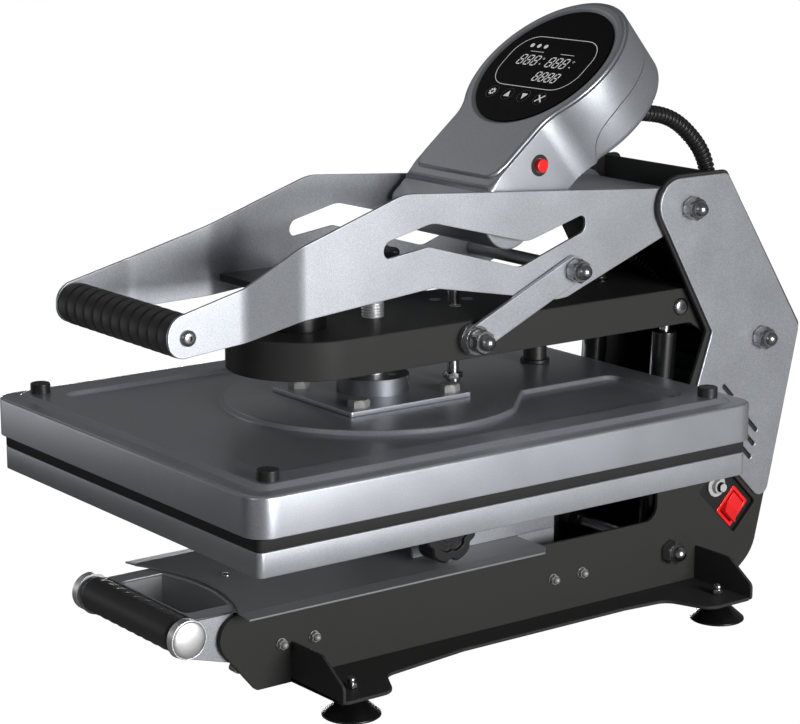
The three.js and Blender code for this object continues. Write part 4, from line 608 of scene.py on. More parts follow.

# %% [markdown]
# ## Hoses
# Two ribbed conduits carry the wires: one from the back of the head down into the rear panel, the other
# from the arm down into the housing. Each is a tube on a smooth route whose radius swells at every rib.

# %% Ribbed hoses
HOSES = {
    "control_hose": {
        "radius": 7.6, "groove": 1.9, "pitch": 4.9, "stiffness": "medium", "body": "lever", "other": "base",
        "route": [
            (45, 243.5, 463.4), (45, 251, 463.4), (45, 259, 463.2), (45, 273, 461.5), (45, 286, 459),
            (45, 297, 455.2), (45, 308, 449.3), (45, 320, 440), (45, 331, 429), (45, 339, 417),
            (45, 344, 403), (45, 345.5, 386), (45, 345.5, 370.3),
        ],
    },
    "heater_hose": {
        "radius": 6.0, "groove": 1.2, "pitch": 4.8, "stiffness": "medium", "body": "arm", "other": "base",
        "route": [
            (-9, 264, 303.8), (-9, 264, 310), (-9, 265, 316), (-9, 271, 324), (-9, 282, 327.5),
            (-9, 296, 325), (-9, 312, 316.5), (-9, 327, 306), (-9, 340, 293), (-9, 349, 276),
            (-9, 352, 257), (-9, 352, 236), (-9, 352, 215), (-9, 352, 195.3),
        ],
    },
}


RIB_STEPS, PATH_POINTS = 12, 31


def ribbed_hose(name, radius, groove, pitch, stiffness, body, other, route):
    """Radius at a point: radius - groove * cos(pi * n) ** 4, where n counts the ribs from a dip on."""
    line, length = smooth_route(route, 2)
    ribs = 5 * round(length / pitch / 5)
    line, length = smooth_route(route, ribs * RIB_STEPS + 1)
    phase = np.arange(len(line)) / RIB_STEPS
    dip = np.abs(np.cos(math.pi * phase)) ** 4
    tube = flat_tube(line, radius - groove * dip)
    made = piece(name, None, "hose_plastic", hose_plastic, [name], tube, sharp=170)
    path, _ = smooth_route(route, PATH_POINTS)
    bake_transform(made)
    print(f"{name}: {ribs} ribs, {length:.0f} mm")


for hose_name, hose in HOSES.items():
    ribbed_hose(hose_name, **hose)

# %% [markdown]
# ## Side frames and covers
# Each side of the press is a black folded plate: a tall side, a foot flange below it and a gusset across
# each end. A silver sheet covers its rear half, with four slanted vents. All are outlines with round
# corners and small drilled holes, so each is a plate with softened edges.

# %% Pivots, and holes drilled across
LEVER_PIVOT = (294, 379)
ARM_PIVOT = (386, 250)
SPRING_FOOT = (281, 62)
SPRING_TOP = (296, 287)
LEVER_LINK = (161, 337)
ARM_LINK = (54, 288.5)
GRIP_AXIS = (-239.1, 329.8)
SHAFT, SHAFT_HOLE = 6, 6.4
FRAME_INNER, FRAME_THICK = 71, 4
frame_outer = FRAME_INNER + FRAME_THICK
spread = math.hypot(LEVER_LINK[0] - ARM_LINK[0], LEVER_LINK[1] - ARM_LINK[1])
print(f"links: {spread:.1f} mm between their pivots")
RAIL_BOLTS = [(-147.5, 61.2), (-115.2, 61.2), (141.7, 61.2), (174.8, 61.2)]


def drilled(radius, *places):
    """A round hole at each place."""
    return [circle(a, b, radius, 32) for a, b in places]


def slanted(y, z, long, wide, radius=0.0):
    """A rectangle turned by 45 degrees about its middle, in Y and Z."""
    half = box_outline(-long / 2, long / 2, -wide / 2, wide / 2, radius)
    turn = np.array([[1, -1], [1, 1]]) / math.sqrt(2)
    return half @ turn + (y, z)


# %% Frame plates
frame_outline = rounded([
    (-172, 26, 6), (-229, 94, 20), (265, 94, 28), (265, 122, 28), (321, 263, 6), (237, 409, 27),
    (340, 409, 6), (439.4, 256, 6), (387.5, 43, 50), (366, 26, 6),
], 10)
FLANGE_LOW, FLANGE_THICK = 27.2, 3
flange_top = FLANGE_LOW + FLANGE_THICK
GUSSETS = [(-138, -135), (313, 316)]
FOOT_PLACES = [(123.5, -112), (123.5, 296.5)]


def mirrored(loop, side):
    """The loop with its first coordinate on one side of the press."""
    return np.asarray(loop, dtype=float) * (side, 1)


# %% Foot flange and gussets
def flange_outline():
    """The foot flange: wide lobes at both ends and a long waist between them."""
    return rounded([
        (71, -138, 0), (149, -138, 7), (149, -88, 16), (115, -70, 16), (103.5, 20, 32), (103.5, 203, 32),
        (108, 248, 16), (149, 264, 16), (149, 316, 7), (71, 316, 0),
    ], 8)


def gusset_outline():
    """The upright at a flange's end: level at first, then sloping down to a short lip."""
    return rounded([(71, 26, 0), (149, 27.2, 3.5), (149, 42, 7), (120, 61, 7), (71, 61, 0)], 6)


# %% Both frames
for name, side in SIDES:
    holes = drilled(SHAFT_HOLE, LEVER_PIVOT, ARM_PIVOT, SPRING_FOOT) + drilled(2.9, *RAIL_BOLTS)
    if side > 0:
        holes.append(slanted(353, 101, 65, 37.5, 3))
    tall = plate(frame_outline, FRAME_INNER * side, frame_outer * side, holes, 0.6)
    sole = plate(mirrored(flange_outline(), side), FLANGE_LOW, flange_top,
                 [circle(x * side, y, 4.4, 24) for x, y in FOOT_PLACES], 0.7, "z")
    uprights = [plate(mirrored(gusset_outline(), side), a, b, (), 0.7, "y") for a, b in GUSSETS]
    piece(f"frame_{name}_plate", "base", "black_paint", black_paint, [f"frame_{name}"], tall, sole, *uprights)

# %% Side covers with their vents
COVER_INNER = frame_outer + 0.3
COVER_THICK = 2.5
cover_outer = COVER_INNER + COVER_THICK
cover_outline = rounded([
    (240.6, 406.5, 23.5), (339, 406.5, 8), (436.8, 254, 12), (398.5, 87.5, 10), (299, 186, 4), (325, 262, 4),
], 10)
VENTS = [(19, 354, 196.5), (26, 386, 160), (30, 383, 147), (30, 379, 135)]
VENT_WIDE = 4.2

for name, side in SIDES:
    slots = [slanted(y - run / 2 / math.sqrt(2), z + run / 2 / math.sqrt(2), run, VENT_WIDE, VENT_WIDE / 2)
             for run, y, z in VENTS]
    sheet = plate(cover_outline, COVER_INNER * side, cover_outer * side,
                  drilled(SHAFT_HOLE, LEVER_PIVOT, ARM_PIVOT) + slots, 0.7)
    piece(f"side_cover_{name}_sheet", "base", "silver_paint", silver_paint, [f"side_cover_{name}"], sheet)

# %% [markdown]
# ## Feet, shafts and rails
# The feet are rubber suction cups on a chromed stem. Three long bolts cross the press with an acorn nut
# at each end, and the drawer's rails are C channels held by small bolts.

# %% Suction feet and their nuts
FOOT_RADIUS, FOOT_LIP, FOOT_HIGH, FOOT_NECK = 24.5, 0.6, 16, 8.6
bell = profile((FOOT_LIP, FOOT_RADIUS), (FOOT_LIP + 1.2, FOOT_RADIUS, 1.5), (FOOT_HIGH, FOOT_NECK, 5),
               (FOOT_HIGH + 7, FOOT_NECK), steps=8)
cup_rows = [(FLOOR, FOOT_RADIUS - 0.8), *[(FLOOR + high, radius) for high, radius in bell],
            (FLANGE_LOW - 0.3, FOOT_NECK)]
for name, (x, y) in zip(("front", "rear"), FOOT_PLACES):
    for hand, side in SIDES:
        at = (x * side, y)
        piece(f"foot_{name}_{hand}_cup", "base", "rubber", foot_rubber, [f"foot_{name}_{hand}"],
              turned(cup_rows, "z", at, 64))
        stem = rod(4, FLANGE_LOW - 2, flange_top + 1, "z", at)
        washer = rod(6.5, FLANGE_LOW - 2.2, FLANGE_LOW - 0.1, "z", at, 0.3)
        nut = acorn_nut(flange_top + 0.1, 1, at, 9, 4.4, 3.7, 10, "z")
        piece(f"foot_{name}_{hand}_nut", "base", "chrome", chrome, [f"foot_{name}_{hand}"], stem, washer, nut)

# %% Through shafts
ACORN = {"across": 19, "high": 10.5, "round_radius": 7.3, "tip": 19.5}


def shaft(name, at, seat, collars, body="base"):
    """A bar across the press, with collars [from, to, radius] and an acorn nut on both sides."""
    parts = [rod(SHAFT, -seat - 1, seat + 1, "x", at)]
    for _, side in SIDES:
        parts.append(acorn_nut((seat + 0.3) * side, side, at, **ACORN))
        parts += [rod(radius, low * side, high * side, "x", at) for low, high, radius in collars]
    return piece(f"{name}_bar", body, "chrome", chrome, [name], *parts)


shaft("lever_shaft", LEVER_PIVOT, cover_outer, [(0.2, 66.7, 9)])
shaft("arm_shaft", ARM_PIVOT, cover_outer, [(0.2, 60.7, 9), (65.3, 70.7, 12)])
shaft("spring_shaft", SPRING_FOOT, frame_outer, [(0.2, 40.7, 9), (53.3, 70.7, 9)])

# %% Drawer rails and their small nuts
STOP_STUD = (-186, 46)
RAIL_WEB, RAIL_LIP, RAIL_FRONT, RAIL_REAR = 70.7, 60.7, -186, 240
channel = rounded([(RAIL_WEB, 50, 2.4), (RAIL_WEB, 71, 2.4), (RAIL_LIP, 71, 0), (RAIL_LIP, 69, 0),
                   (68.7, 69, 0.6), (68.7, 52, 0.6), (RAIL_LIP, 52, 0), (RAIL_LIP, 50, 0)], 4)
for name, side in SIDES:
    parts = [plate(mirrored(channel, side), RAIL_FRONT, RAIL_REAR, (), 0.25, "y"),
             rod(3.6, 60.9 * side, 70.8 * side, "x", STOP_STUD)]
    for at in RAIL_BOLTS:
        parts += [rod(2.5, 69.5 * side, (frame_outer + 0.6) * side, "x", at),
                  rod(4.9, (frame_outer + 0.25) * side, (frame_outer + 0.9) * side, "x", at, 0.2),
                  acorn_nut((frame_outer + 0.8) * side, side, at, 8, 3.6, 3.3, 7.4)]
    piece(f"drawer_rail_{name}_channel", "base", "steel", zinc_steel, [f"drawer_rail_{name}"], *parts)

# %% [markdown]
# ## Rear housing and electrics
# One bent black sheet closes the back between the frames, with a cross panel above it. It is flat, so its
# solid stays and only gets the coat. So do the parts inside it. The switch shows in a slanted pocket of
# the right frame: a red bezel with a red rocker, tipped to one side, and beside it the breaker's post on
# a pale flange.

# %% Solids that keep their own shape
KEPT = {
    "rear_housing": housing_paint, "power_inlet": black_plastic, "control_board": board_green,
    "insulation_board": mineral_wool, "heating_plate": platen_metal, "armature_plate": dark_steel,
}
for node, material in KEPT.items():
    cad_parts[node].data.materials.clear()
    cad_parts[node].data.materials.append(material)
print("solids that keep their shape:", ", ".join(KEPT))

# %% Switch
SWITCH = (362, 90)
SWITCH_BACK = 70.7
BREAKER = (341.5, 113)
tray = plate(slanted(353, 101, 71, 43.5, 3), SWITCH_BACK - 3, SWITCH_BACK,
             drilled(6.6, BREAKER) + [slanted(*SWITCH, 22, 27)], 0.3)
piece("switch_tray", "base", "black_plastic", black_plastic, ["switch_body"], tray)
bezel_hole = slanted(*SWITCH, 19.5, 24.5, 1.2)
bezel = plate(slanted(*SWITCH, 26, 31, 1.6), SWITCH_BACK - 0.3, SWITCH_BACK + 1.5, [bezel_hole], 0.7)
can_outline = slanted(*SWITCH, 23, 28, 1)
can = plate(can_outline, SWITCH_BACK - 24, SWITCH_BACK - 0.2, [slanted(*SWITCH, 19.6, 24.6, 1)], 0.3)
can_floor = plate(can_outline, SWITCH_BACK - 25, SWITCH_BACK - 23, (), 0.3)
piece("switch_bezel", "base", "red_plastic", red_plastic, ["switch_body"], bezel, can, can_floor)


# %% Rocker
def rocker_mesh():
    """A bar across the well whose outer face is two arcs that meet in a valley, one side tipped out."""
    section = rounded([(-7.2, -7.2, 1), (7.2, -7.2, 1), (11.5, -3, 1), (11.1, 6.8, 1.2), (8.5, 5.2, 3),
                       (1.0, 1.8, 4), (-10.6, 1.3, 0.8), (-11.5, -3, 1)], 6)
    points, faces = plate(section, -9.1, 9.1, (), 0.5, "z")
    direction = np.array([[0, -1, -1], [math.sqrt(2), 0, 0], [0, 1, -1]]) / math.sqrt(2)
    return points @ direction + (72, *SWITCH), faces


piece("power_rocker_key", "rocker", "red_plastic", red_plastic, ["power_rocker"], rocker_mesh())

# %% Breaker and its reset button
flange = turned(profile((71, 6.1), (71, 10.6, 0.3), (73, 10.6, 0.7), (73, 6.1)), "x", BREAKER)
barrel = turned(profile((49, 5.9), (49, 6.6, 0.4), (77.6, 6.6, 0.8), (77.6, 4.7), (66, 4.6), (66, 0.1)),
                "x", BREAKER)
piece("breaker_flange", "base", "grey_plastic", grey_plastic, ["breaker_body"], flange, barrel)
button_ring = turned(profile((77.3, 4.8), (79.4, 4.8, 0.4), (79.4, 4.4), (77.3, 4.4)), "x", BREAKER)
piece("reset_button_ring", "reset", "black_plastic", black_plastic, ["reset_button"], button_ring)
post = turned(profile((63.4, 0.1), (63.4, 4.1, 0.3), (80, 4.1, 0.2), (82, 4.1, 0.8), (82, 0.1)),
              "x", BREAKER, 40)
piece("reset_button_post", "reset", "grey_plastic", grey_plastic, ["reset_button"], post)

# %% [markdown]
# ## Drawer
# The lower platen stands on a drawer: a graphite sheet whose front edge is cut in a wide arc, on two webs
# that run in the rails. In front of it the handle's bracket has a finger opening with a skirt hanging
# behind it, and a foam grip on a tube with bright end caps.

# %% Drawer sheet
DRAWER_TOP, DRAWER_SHEET = 98, 1.7
DRAWER_HALF, DRAWER_FRONT, DRAWER_REAR = 97, -192, 122
DRAWER_SCREW = (-8, -147)
drawer_low = DRAWER_TOP - DRAWER_SHEET


def bow(half, front, deep, steps=40):
    """An arc from one corner to the other: it runs back by deep in its middle."""
    radius = (half * half + deep * deep) / (2 * deep)
    sweep = math.asin(half / radius) * np.linspace(1, -1, steps + 1)
    return np.stack([radius * np.sin(sweep), front + deep - radius + radius * np.cos(sweep)], axis=1)


drawer_outline = np.concatenate([
    [(-DRAWER_HALF, DRAWER_FRONT)], bow(80, DRAWER_FRONT, 21)[::-1],
    [(DRAWER_HALF, DRAWER_FRONT), (DRAWER_HALF, 114), (88, DRAWER_REAR), (-88, DRAWER_REAR),
     (-DRAWER_HALF, 114)],
])
FOLD = rounded([(70, 0), (83, 0, 4), (DRAWER_HALF, -1.5)], 6, False)


def folded_down(part):
    """Cuts the sheet along the fold on both sides, then lowers Z by the fold's drop at |X|."""
    points, faces = cut_across(part, 0, np.concatenate([FOLD[1:-1, 0], -FOLD[1:-1, 0]]))
    points[:, 2] += np.interp(np.abs(points[:, 0]), FOLD[:, 0], FOLD[:, 1])
    return points, faces


drawer_sheet = plate(drawer_outline, drawer_low, DRAWER_TOP, [circle(*DRAWER_SCREW, 2.2, 20)], 0.4, "z")
web = rounded([(57, 52.3), (65, 52.3), (65, 57.3), (58.7, 57.3), (58.7, 97), (57, 97)])
webs = [plate(mirrored(web, side), -139.7, DRAWER_REAR, (), 0.2, "y") for _, side in SIDES]
piece("drawer_sheet", "drawer", "drawer_paint", drawer_paint, ["drawer_plate"],
      folded_down(drawer_sheet), *webs)
piece("drawer_screw", "drawer", "chrome", chrome, ["drawer_plate"],
      button_head(DRAWER_TOP, 1, DRAWER_SCREW, 3.6, 2.2, 1.4, "z"))

# %% Handle bracket with its finger opening
HANDLE = (-237.7, 84)
HALF_BRACKET, BRACKET_SHEET = 69.7, 2
OPENING_HALF, OPENING_REAR, OPENING_BOW = 52, -183, 8.5
SKIRT_DEEP, SKIRT_SHEET = 30, 2
bracket_top = drawer_low - 0.3
flange_front = HANDLE[0] + 11.9
opening_front = flange_front + 1.6
opening_arc = bow(OPENING_HALF, OPENING_REAR, OPENING_BOW)
opening_corners = [tuple(opening_arc[-1]), (-OPENING_HALF, opening_front, 6),
                   (OPENING_HALF, opening_front, 6), tuple(opening_arc[0])]
opening = np.concatenate([rounded(opening_corners, 6, False)[1:-1], opening_arc])
bracket_plate = plate(box_outline(-HALF_BRACKET, HALF_BRACKET, flange_front, -140, 1),
                      bracket_top - BRACKET_SHEET, bracket_top, [opening], 0.5, "z")
arm_side = rounded([(-250.8, 69.4, 13.1), (-190, 52, 2), (-190, bracket_top, 0),
                    (flange_front, bracket_top, 6), (-250.8, 97.1, 13.1)], 12)
bracket_arms = [plate(arm_side, HALF_BRACKET * side, (HALF_BRACKET - BRACKET_SHEET) * side,
                      [circle(*HANDLE, 8.4)], 0.5) for _, side in SIDES]
piece("drawer_bracket_sheet", "drawer", "silver_paint", silver_paint, ["drawer_bracket"],
      bracket_plate, *bracket_arms)
skirt_half, skirt_front = OPENING_HALF + SKIRT_SHEET, HANDLE[0] + 18
skirt_loop = np.concatenate([
    [(skirt_half, skirt_front)], bow(skirt_half, OPENING_REAR + SKIRT_SHEET, OPENING_BOW),
    [(-skirt_half, skirt_front), (-OPENING_HALF, skirt_front)], opening_arc[::-1],
    [(OPENING_HALF, skirt_front)],
])
# The skirt walls the finger opening and takes the graphite coat instead of the bracket's silver: painted
# shade inside the opening.
piece("drawer_bracket_skirt", "drawer", "silver_paint", drawer_paint, ["drawer_bracket"],
      plate(skirt_loop, bracket_top - SKIRT_DEEP, bracket_top - 2.1, (), 0.3, "z"))

# %% Handle tube, end caps and foam
TUBE, CAP_SEAT, CAP_RIM, CAP_FACE, CAP_RADIUS, CAP_DOME = 8, 71.8, 79.8, 79.6, 16.3, 15.4
cap_rows = [*profile((CAP_SEAT, TUBE), (CAP_SEAT, CAP_RADIUS, 0.4), (CAP_RIM, CAP_RADIUS, 0.6),
                     (CAP_RIM, 15.6, 0.2), (CAP_FACE, CAP_DOME))]
cap_rows += [(CAP_FACE + 3.1 * math.cos(a), CAP_DOME * math.sin(a))
             for a in np.linspace(math.pi / 2, 0.01, 10)[1:]]
caps = [turned([(place * side, radius) for place, radius in cap_rows], "x", HANDLE, 64) for _, side in SIDES]
piece("drawer_grip_caps", "drawer", "chrome", satin_steel, ["drawer_grip_core"],
      rod(TUBE, -71.9, 71.9, "x", HANDLE), *caps)


def finger_foam(half, radius, wave, count, lean, rows=181, steps=48):
    """Foam with finger hollows: radius - wave * low * (1 - cos(2 pi n)) / 2, where n counts the hollows
    along the grip and low falls from one to nothing towards the palm, at the angle lean."""
    places = np.linspace(-half, half, rows)
    t = full_turn(steps)
    hollow = (1 - np.cos((places / half + 1) * math.pi * count)) / 2
    low_side = np.clip(1 - 1.5 * np.clip(np.cos(t - lean), 0, 1), 0, 1)
    size = radius - wave * hollow[:, None] * low_side[None, :]
    ends = np.minimum(1, (half - np.abs(places)) / 1.2)[:, None]
    size = size - 1.0 * (1 - np.sqrt(np.clip(ends * (2 - ends), 0, 1)))
    across = np.repeat(places[:, None], steps, axis=1)
    points = along("x", HANDLE[0] + size * np.cos(t), HANDLE[1] + size * np.sin(t), across)
    return points.reshape(-1, 3), tube_faces(rows, steps)


piece("drawer_grip_foam", "drawer", "rubber", foam_rubber, ["drawer_grip"],
      finger_foam(66.4, 15.2, 1.3, 10, 2.8), sharp=60)

# %% Pedestal
PEDESTAL_HALF, PEDESTAL_INNER, PEDESTAL_FOOT = 47, 44, 98.3
stiff_top = PLATEN_BOTTOM - 0.3
stiff_low = stiff_top - 6
channel_outer = rounded([
    (-PEDESTAL_HALF, PEDESTAL_FOOT), (-PEDESTAL_HALF, stiff_low + 0.3, 3),
    (PEDESTAL_HALF, stiff_low + 0.3, 3), (PEDESTAL_HALF, PEDESTAL_FOOT),
    (PEDESTAL_INNER, PEDESTAL_FOOT), (PEDESTAL_INNER, stiff_low - 3, 1),
    (-PEDESTAL_INNER, stiff_low - 3, 1), (-PEDESTAL_INNER, PEDESTAL_FOOT),
], 5)
pedestal_parts = [plate(channel_outer, 8, 166, (), 0.4, "y"),
                  plate(box_outline(-62, 62, -150, 153, 8), stiff_low, stiff_top, (), 0.8, "z")]
pedestal_parts += [plate(box_outline(124, 166, 84, 99, 1), PEDESTAL_INNER * side, PEDESTAL_HALF * side,
                         (), 0.4) for _, side in SIDES]
piece("pedestal_channel", "drawer", "silver_paint", silver_paint, ["pedestal"], *pedestal_parts)

# %% Clamp knob
KNOB = (22, 127)
knob_rows = profile((62, 8), (62, 26, 1.5), (64, 27, 1.5), (82, 27, 2), (84, 25, 1), (84, 17.2, 0.5),
                    (81, 16.4, 0.5), (81, 13, 0.3), (80.4, 12.6, 0.3), (80.4, 9, 0.3), (81, 8.6, 0.3),
                    (81, 5, 0.3), (80.4, 4.6, 0.3), (80.4, 0.1))
piece("clamp_knob_lobes", "clamp", "black_plastic", black_plastic, ["clamp_knob"],
      turned(knob_rows, "x", KNOB, 144, lobes=(6, 3.4)), rod(11, 47.3, 62.3, "x", KNOB),
      rod(5, 41, 62.3, "x", KNOB))


# %% Lower platen and pad
def platen_loop(grow, corner):
    """The platen's rectangle, grown by a distance, with round corners."""
    half_wide, half_deep = 200 + grow, 250 + grow
    return box_outline(-half_wide, half_wide, -half_deep, half_deep, corner)


PAD_THICK, PLATEN_CORNER, PLATEN_EDGE = 9.4, 5, 0.8
pad_low = PLATEN_BOTTOM + PLATEN_THICK + 0.3
pad_top = pad_low + PAD_THICK
piece("lower_platen_plate", "drawer", "platen_metal", platen_metal, ["lower_platen"],
      plate(platen_loop(0, PLATEN_CORNER), PLATEN_BOTTOM, PLATEN_BOTTOM + PLATEN_THICK, (), PLATEN_EDGE, "z"))
piece("silicone_pad_sheet", "drawer", "silicone", sponge, ["silicone_pad"],
      plate(platen_loop(0, PLATEN_CORNER), pad_low, pad_top, (), PLATEN_EDGE, "z"))

# %% [markdown]
# ## Upper platen
# A pressed cover hides the heater. Its edge steps up to a flat land, and the land is sunk by 4.4 mm in a
# U-shaped field round a raised disc, where the mount plate is bolted. The cover is one skin: loops of the
# same outline climb the wall and the step, the land is filled round the field's outline, and the field's
# own loops go down to its floor.

# %% The sunk field's outline
COVER_LOW = pad_top + 0.3 + 1.3
lip_top = COVER_LOW + 33
land_top = lip_top + 4
DISC, STRIP = 127, 64
FIELD_SIDE, FIELD_FRONT, FIELD_REAR = 164, -214, 217


def field_outline(steps=96):
    """The sunk field: a rectangle less the disc and the strip that runs from the disc to the rear."""
    reach = math.sqrt(DISC**2 - STRIP**2)
    outside = rounded([(STRIP, 170), (STRIP, FIELD_REAR, 14), (FIELD_SIDE, FIELD_REAR, 16),
                       (FIELD_SIDE, FIELD_FRONT, 14), (-FIELD_SIDE, FIELD_FRONT, 14),
                       (-FIELD_SIDE, FIELD_REAR, 16), (-STRIP, FIELD_REAR, 14), (-STRIP, 170)], 8, False)
    start = math.atan2(reach, -STRIP)
    t = np.linspace(start, start + 2 * math.pi - 2 * (start - math.pi / 2), steps)[1:-1]
    arc = np.stack([DISC * np.cos(t), DISC * np.sin(t)], axis=1)
    fillets = [rounded([(-STRIP, 160), (-STRIP, reach, 12), tuple(arc[6])], 5, False)[1:-1],
               rounded([tuple(arc[-7]), (STRIP, reach, 12), (STRIP, 160)], 5, False)[1:-1]]
    return np.concatenate([outside, fillets[0], arc[8:-8], fillets[1]])


# %% The cover's skin
WALL_GROW, WALL_CORNER, LIP_ROUND = 6.4, 18, 2.5


def cover_mesh():
    """Rows [grow, corner, height] of the wall, lip and step, then the land with the field sunk in it."""
    rows = [(3.4, 15, COVER_LOW + 2), (3.4, 15, COVER_LOW + 0.6), (4.2, 15.8, COVER_LOW),
            (5.8, 17.4, COVER_LOW), (WALL_GROW, WALL_CORNER, COVER_LOW + 0.6)]
    t = np.linspace(0, math.pi / 2, 5)
    rows += [(WALL_GROW - LIP_ROUND * (1 - math.cos(a)), WALL_CORNER - LIP_ROUND * (1 - math.cos(a)),
              lip_top - LIP_ROUND + LIP_ROUND * math.sin(a)) for a in t]
    rows += [(3.4, 15, lip_top), (-6.1, 9, lip_top), (-6.6, 9, lip_top), (-7.6, 9, lip_top + 0.2),
             (-8.4, 9, lip_top + 0.9), (-10.6, 9, land_top - 0.9), (-11.4, 9, land_top - 0.2),
             (-12.4, 9, land_top), (-12.9, 9, land_top)]
    loops = [platen_loop(grow, corner) for grow, corner, _ in rows]
    field = left_turning(field_outline(), False)
    steps = [(-0.8, 0), (0, 0), (0.6, 0.1), (1.1, 0.4), (1.5, 0.9), (2.5, 3.3), (3.0, 3.9), (3.8, 4.3),
             (4.8, 4.4), (6.4, 4.4)]
    field_loops = [inset(field, -out) for out, _ in steps]
    points = [level(loop, row[2]) for loop, row in zip(loops, rows)]
    points += [level(loop, land_top - deep) for loop, (_, deep) in zip(field_loops, steps)]
    first = len(rows) * len(loops[0])
    faces = grid_faces(len(rows), len(loops[0])) + grid_faces(len(steps), len(field), first)
    faces += cap_faces([loops[-1], field], [first - len(loops[0]), first])
    faces += cap_faces([field_loops[-1]], [first + (len(steps) - 1) * len(field)])
    return np.concatenate(points), faces + cap_faces([loops[0]], [0])


piece("platen_cover_skin", "upper", "cover_paint", cover_paint, ["platen_cover"], cover_mesh(), sharp=25)

# %% Corner plugs
PLUG_RADIUS, PLUG_HIGH, PLUG_X, PLUG_Y = 8.6, 8.2, 176.6, 225.6
plug_top = land_top + PLUG_HIGH
plug_rows = profile((land_top, PLUG_RADIUS), (plug_top, PLUG_RADIUS, 1.4), (plug_top, 6.8),
                    (plug_top - 0.6, 5.2, 0.4), (plug_top - 0.6, 0.1), steps=5)
plugs = [turned(plug_rows, "z", (x, y), 40) for x in (-PLUG_X, PLUG_X) for y in (-PLUG_Y, PLUG_Y)]
piece("corner_plugs", "upper", "black_plastic", black_plastic, ["platen_cover"], *plugs)

# %% Mount plate and hub
plate_low = land_top + 0.3
plate_top = plate_low + 4.2
hub_top = plate_low + 18.7
mount_sheet = plate(box_outline(-59, 59, -65, 61, 1.6), plate_low, plate_top, (), 0.25, "z")
piece("mount_plate_sheet", "upper", "steel", cover_paint, ["mount_plate"], mount_sheet)
hub_rows = profile((plate_top - 0.2, 31.4), (hub_top, 31.4, 0.8), (hub_top, 10.6, 0.4), (plate_top + 3, 10.5),
                   (plate_top + 3, 0.1))
piece("screw_hub", "upper", "steel", hub_steel, ["mount_plate"], turned(hub_rows, "z", (0, 0), 96))

# %% Bolts, guide rod and gland
BOLT_HIGH, BOLT_ACROSS, PIN_RING = 6.4, 16.4, 17.5
bolts = [hex_bolt(plate_top, BOLT_HIGH, (x, y), BOLT_ACROSS) for x in (-44, 44) for y in (-46.5, 48.5)]
bolts += [turned([(hub_top - 0.5, 3.4), (hub_top + 0.04, 3.4), (hub_top + 0.05, 0.1)], "z",
                 (PIN_RING * math.cos(a), PIN_RING * math.sin(a)), 24) for a in (0.5, 2.6, 4.7)]
piece("mount_bolts", "upper", "steel", zinc_steel, ["mount_plate"], *bolts)
GUIDE = (0, 87)
guide_parts = [rod(5, plate_low, 322, "z", GUIDE),
               turned([(plate_low, 6), (plate_low + 2.4, 6)], "z", GUIDE, 40),
               hex_bolt(plate_low + 2.4, 6, GUIDE, 15)]
piece("guide_rod_stud", "upper", "steel", chrome, ["guide_rod"], *guide_parts)
GLAND, GLAND_TOP, GLAND_RADIUS, GLAND_RIM = (-15, 193), 284, 10.6, 13.4
gland_rows = profile((plate_low, 6.5), (plate_low, GLAND_RIM, 0.3), (plate_low + 3.4, GLAND_RIM, 0.8),
                     (plate_low + 3.4, GLAND_RADIUS), (GLAND_TOP, GLAND_RADIUS, 1), (GLAND_TOP, 6.5, 0.5),
                     (plate_low + 4, 6.5), steps=3)
piece("cable_gland_tube", "upper", "black_plastic", black_plastic, ["cable_gland"],
      turned(gland_rows, "z", GLAND, 40))

# %% [markdown]
# ## Pressure arm
# A black channel, open below and round at the front, hangs from the rear pivot and carries the upper
# platen. The pressure screw comes up through it under a lobed knob, an electromagnet stands near its
# front, and two gas springs push it up.

# %% Arm
ARM_LOW, ARM_TOP, ARM_HALF, ARM_FRONT, ARM_REAR = 270.7, 303.5, 65, -72.5, 309


def arm_plan(half, rear, steps=40):
    """A half circle at the front and straight sides to the rear."""
    t = math.pi + math.pi * np.linspace(0, 1, steps + 1)
    nose = np.stack([half * np.cos(t), ARM_FRONT + half * np.sin(t)], axis=1)
    return np.concatenate([nose, [(half, rear), (-half, rear)]])


ARM_SHEET, ARM_ROUND = 4, 1.6
t = np.linspace(0, math.pi / 2, 5)
inner_plan = arm_plan(ARM_HALF - ARM_SHEET, ARM_REAR - ARM_SHEET)
arm_rows = [(inner_plan, ARM_TOP - ARM_SHEET), (inner_plan, ARM_LOW + 0.3),
            (arm_plan(ARM_HALF - 3.7, ARM_REAR - 0.3), ARM_LOW),
            (arm_plan(ARM_HALF - 0.5, ARM_REAR), ARM_LOW), (arm_plan(ARM_HALF, ARM_REAR), ARM_LOW + 0.5)]
arm_rows += [(arm_plan(ARM_HALF - ARM_ROUND * (1 - math.cos(a)), ARM_REAR),
              ARM_TOP - ARM_ROUND + ARM_ROUND * math.sin(a)) for a in t]
arm_rows += [(arm_plan(ARM_HALF - 2.2, ARM_REAR - 0.6), ARM_TOP)]
ear = rounded([(276, 272), (309, 270.7, 4), (366, 234, 20), (406, 230, 20), (406, 270, 20), (329, 303.3, 20),
               (276, 303.3)], 10)
ears = [plate(ear, (ARM_HALF - 0.05) * side, (ARM_HALF - ARM_SHEET) * side,
              [circle(*ARM_PIVOT, SHAFT_HOLE), circle(*SPRING_TOP, 5.2)], 0.5) for _, side in SIDES]
piece("pressure_arm_channel", "arm", "black_paint", black_paint, ["pressure_arm"],
      ring_stack(arm_rows), *ears)
head_rows = profile((ARM_TOP - 0.5, 5.2), (ARM_TOP + 0.9, 5.2, 0.6), (ARM_TOP + 0.9, 0.1))
piece("arm_screw_heads", "arm", "steel", zinc_steel, ["pressure_arm"],
      *[turned(head_rows, "z", at, 32) for at in ((-25, 86), (6.5, 84), (-11, 111))])
HEATER_HOSE_PORT = (-9, 264)
grommet_rows = profile((ARM_TOP - 1, 5), (ARM_TOP - 1, 8.5), (ARM_TOP + 1.4, 8.5, 0.8),
                       (ARM_TOP + 1.4, 6.6, 0.4), (ARM_TOP - 1, 6.4))
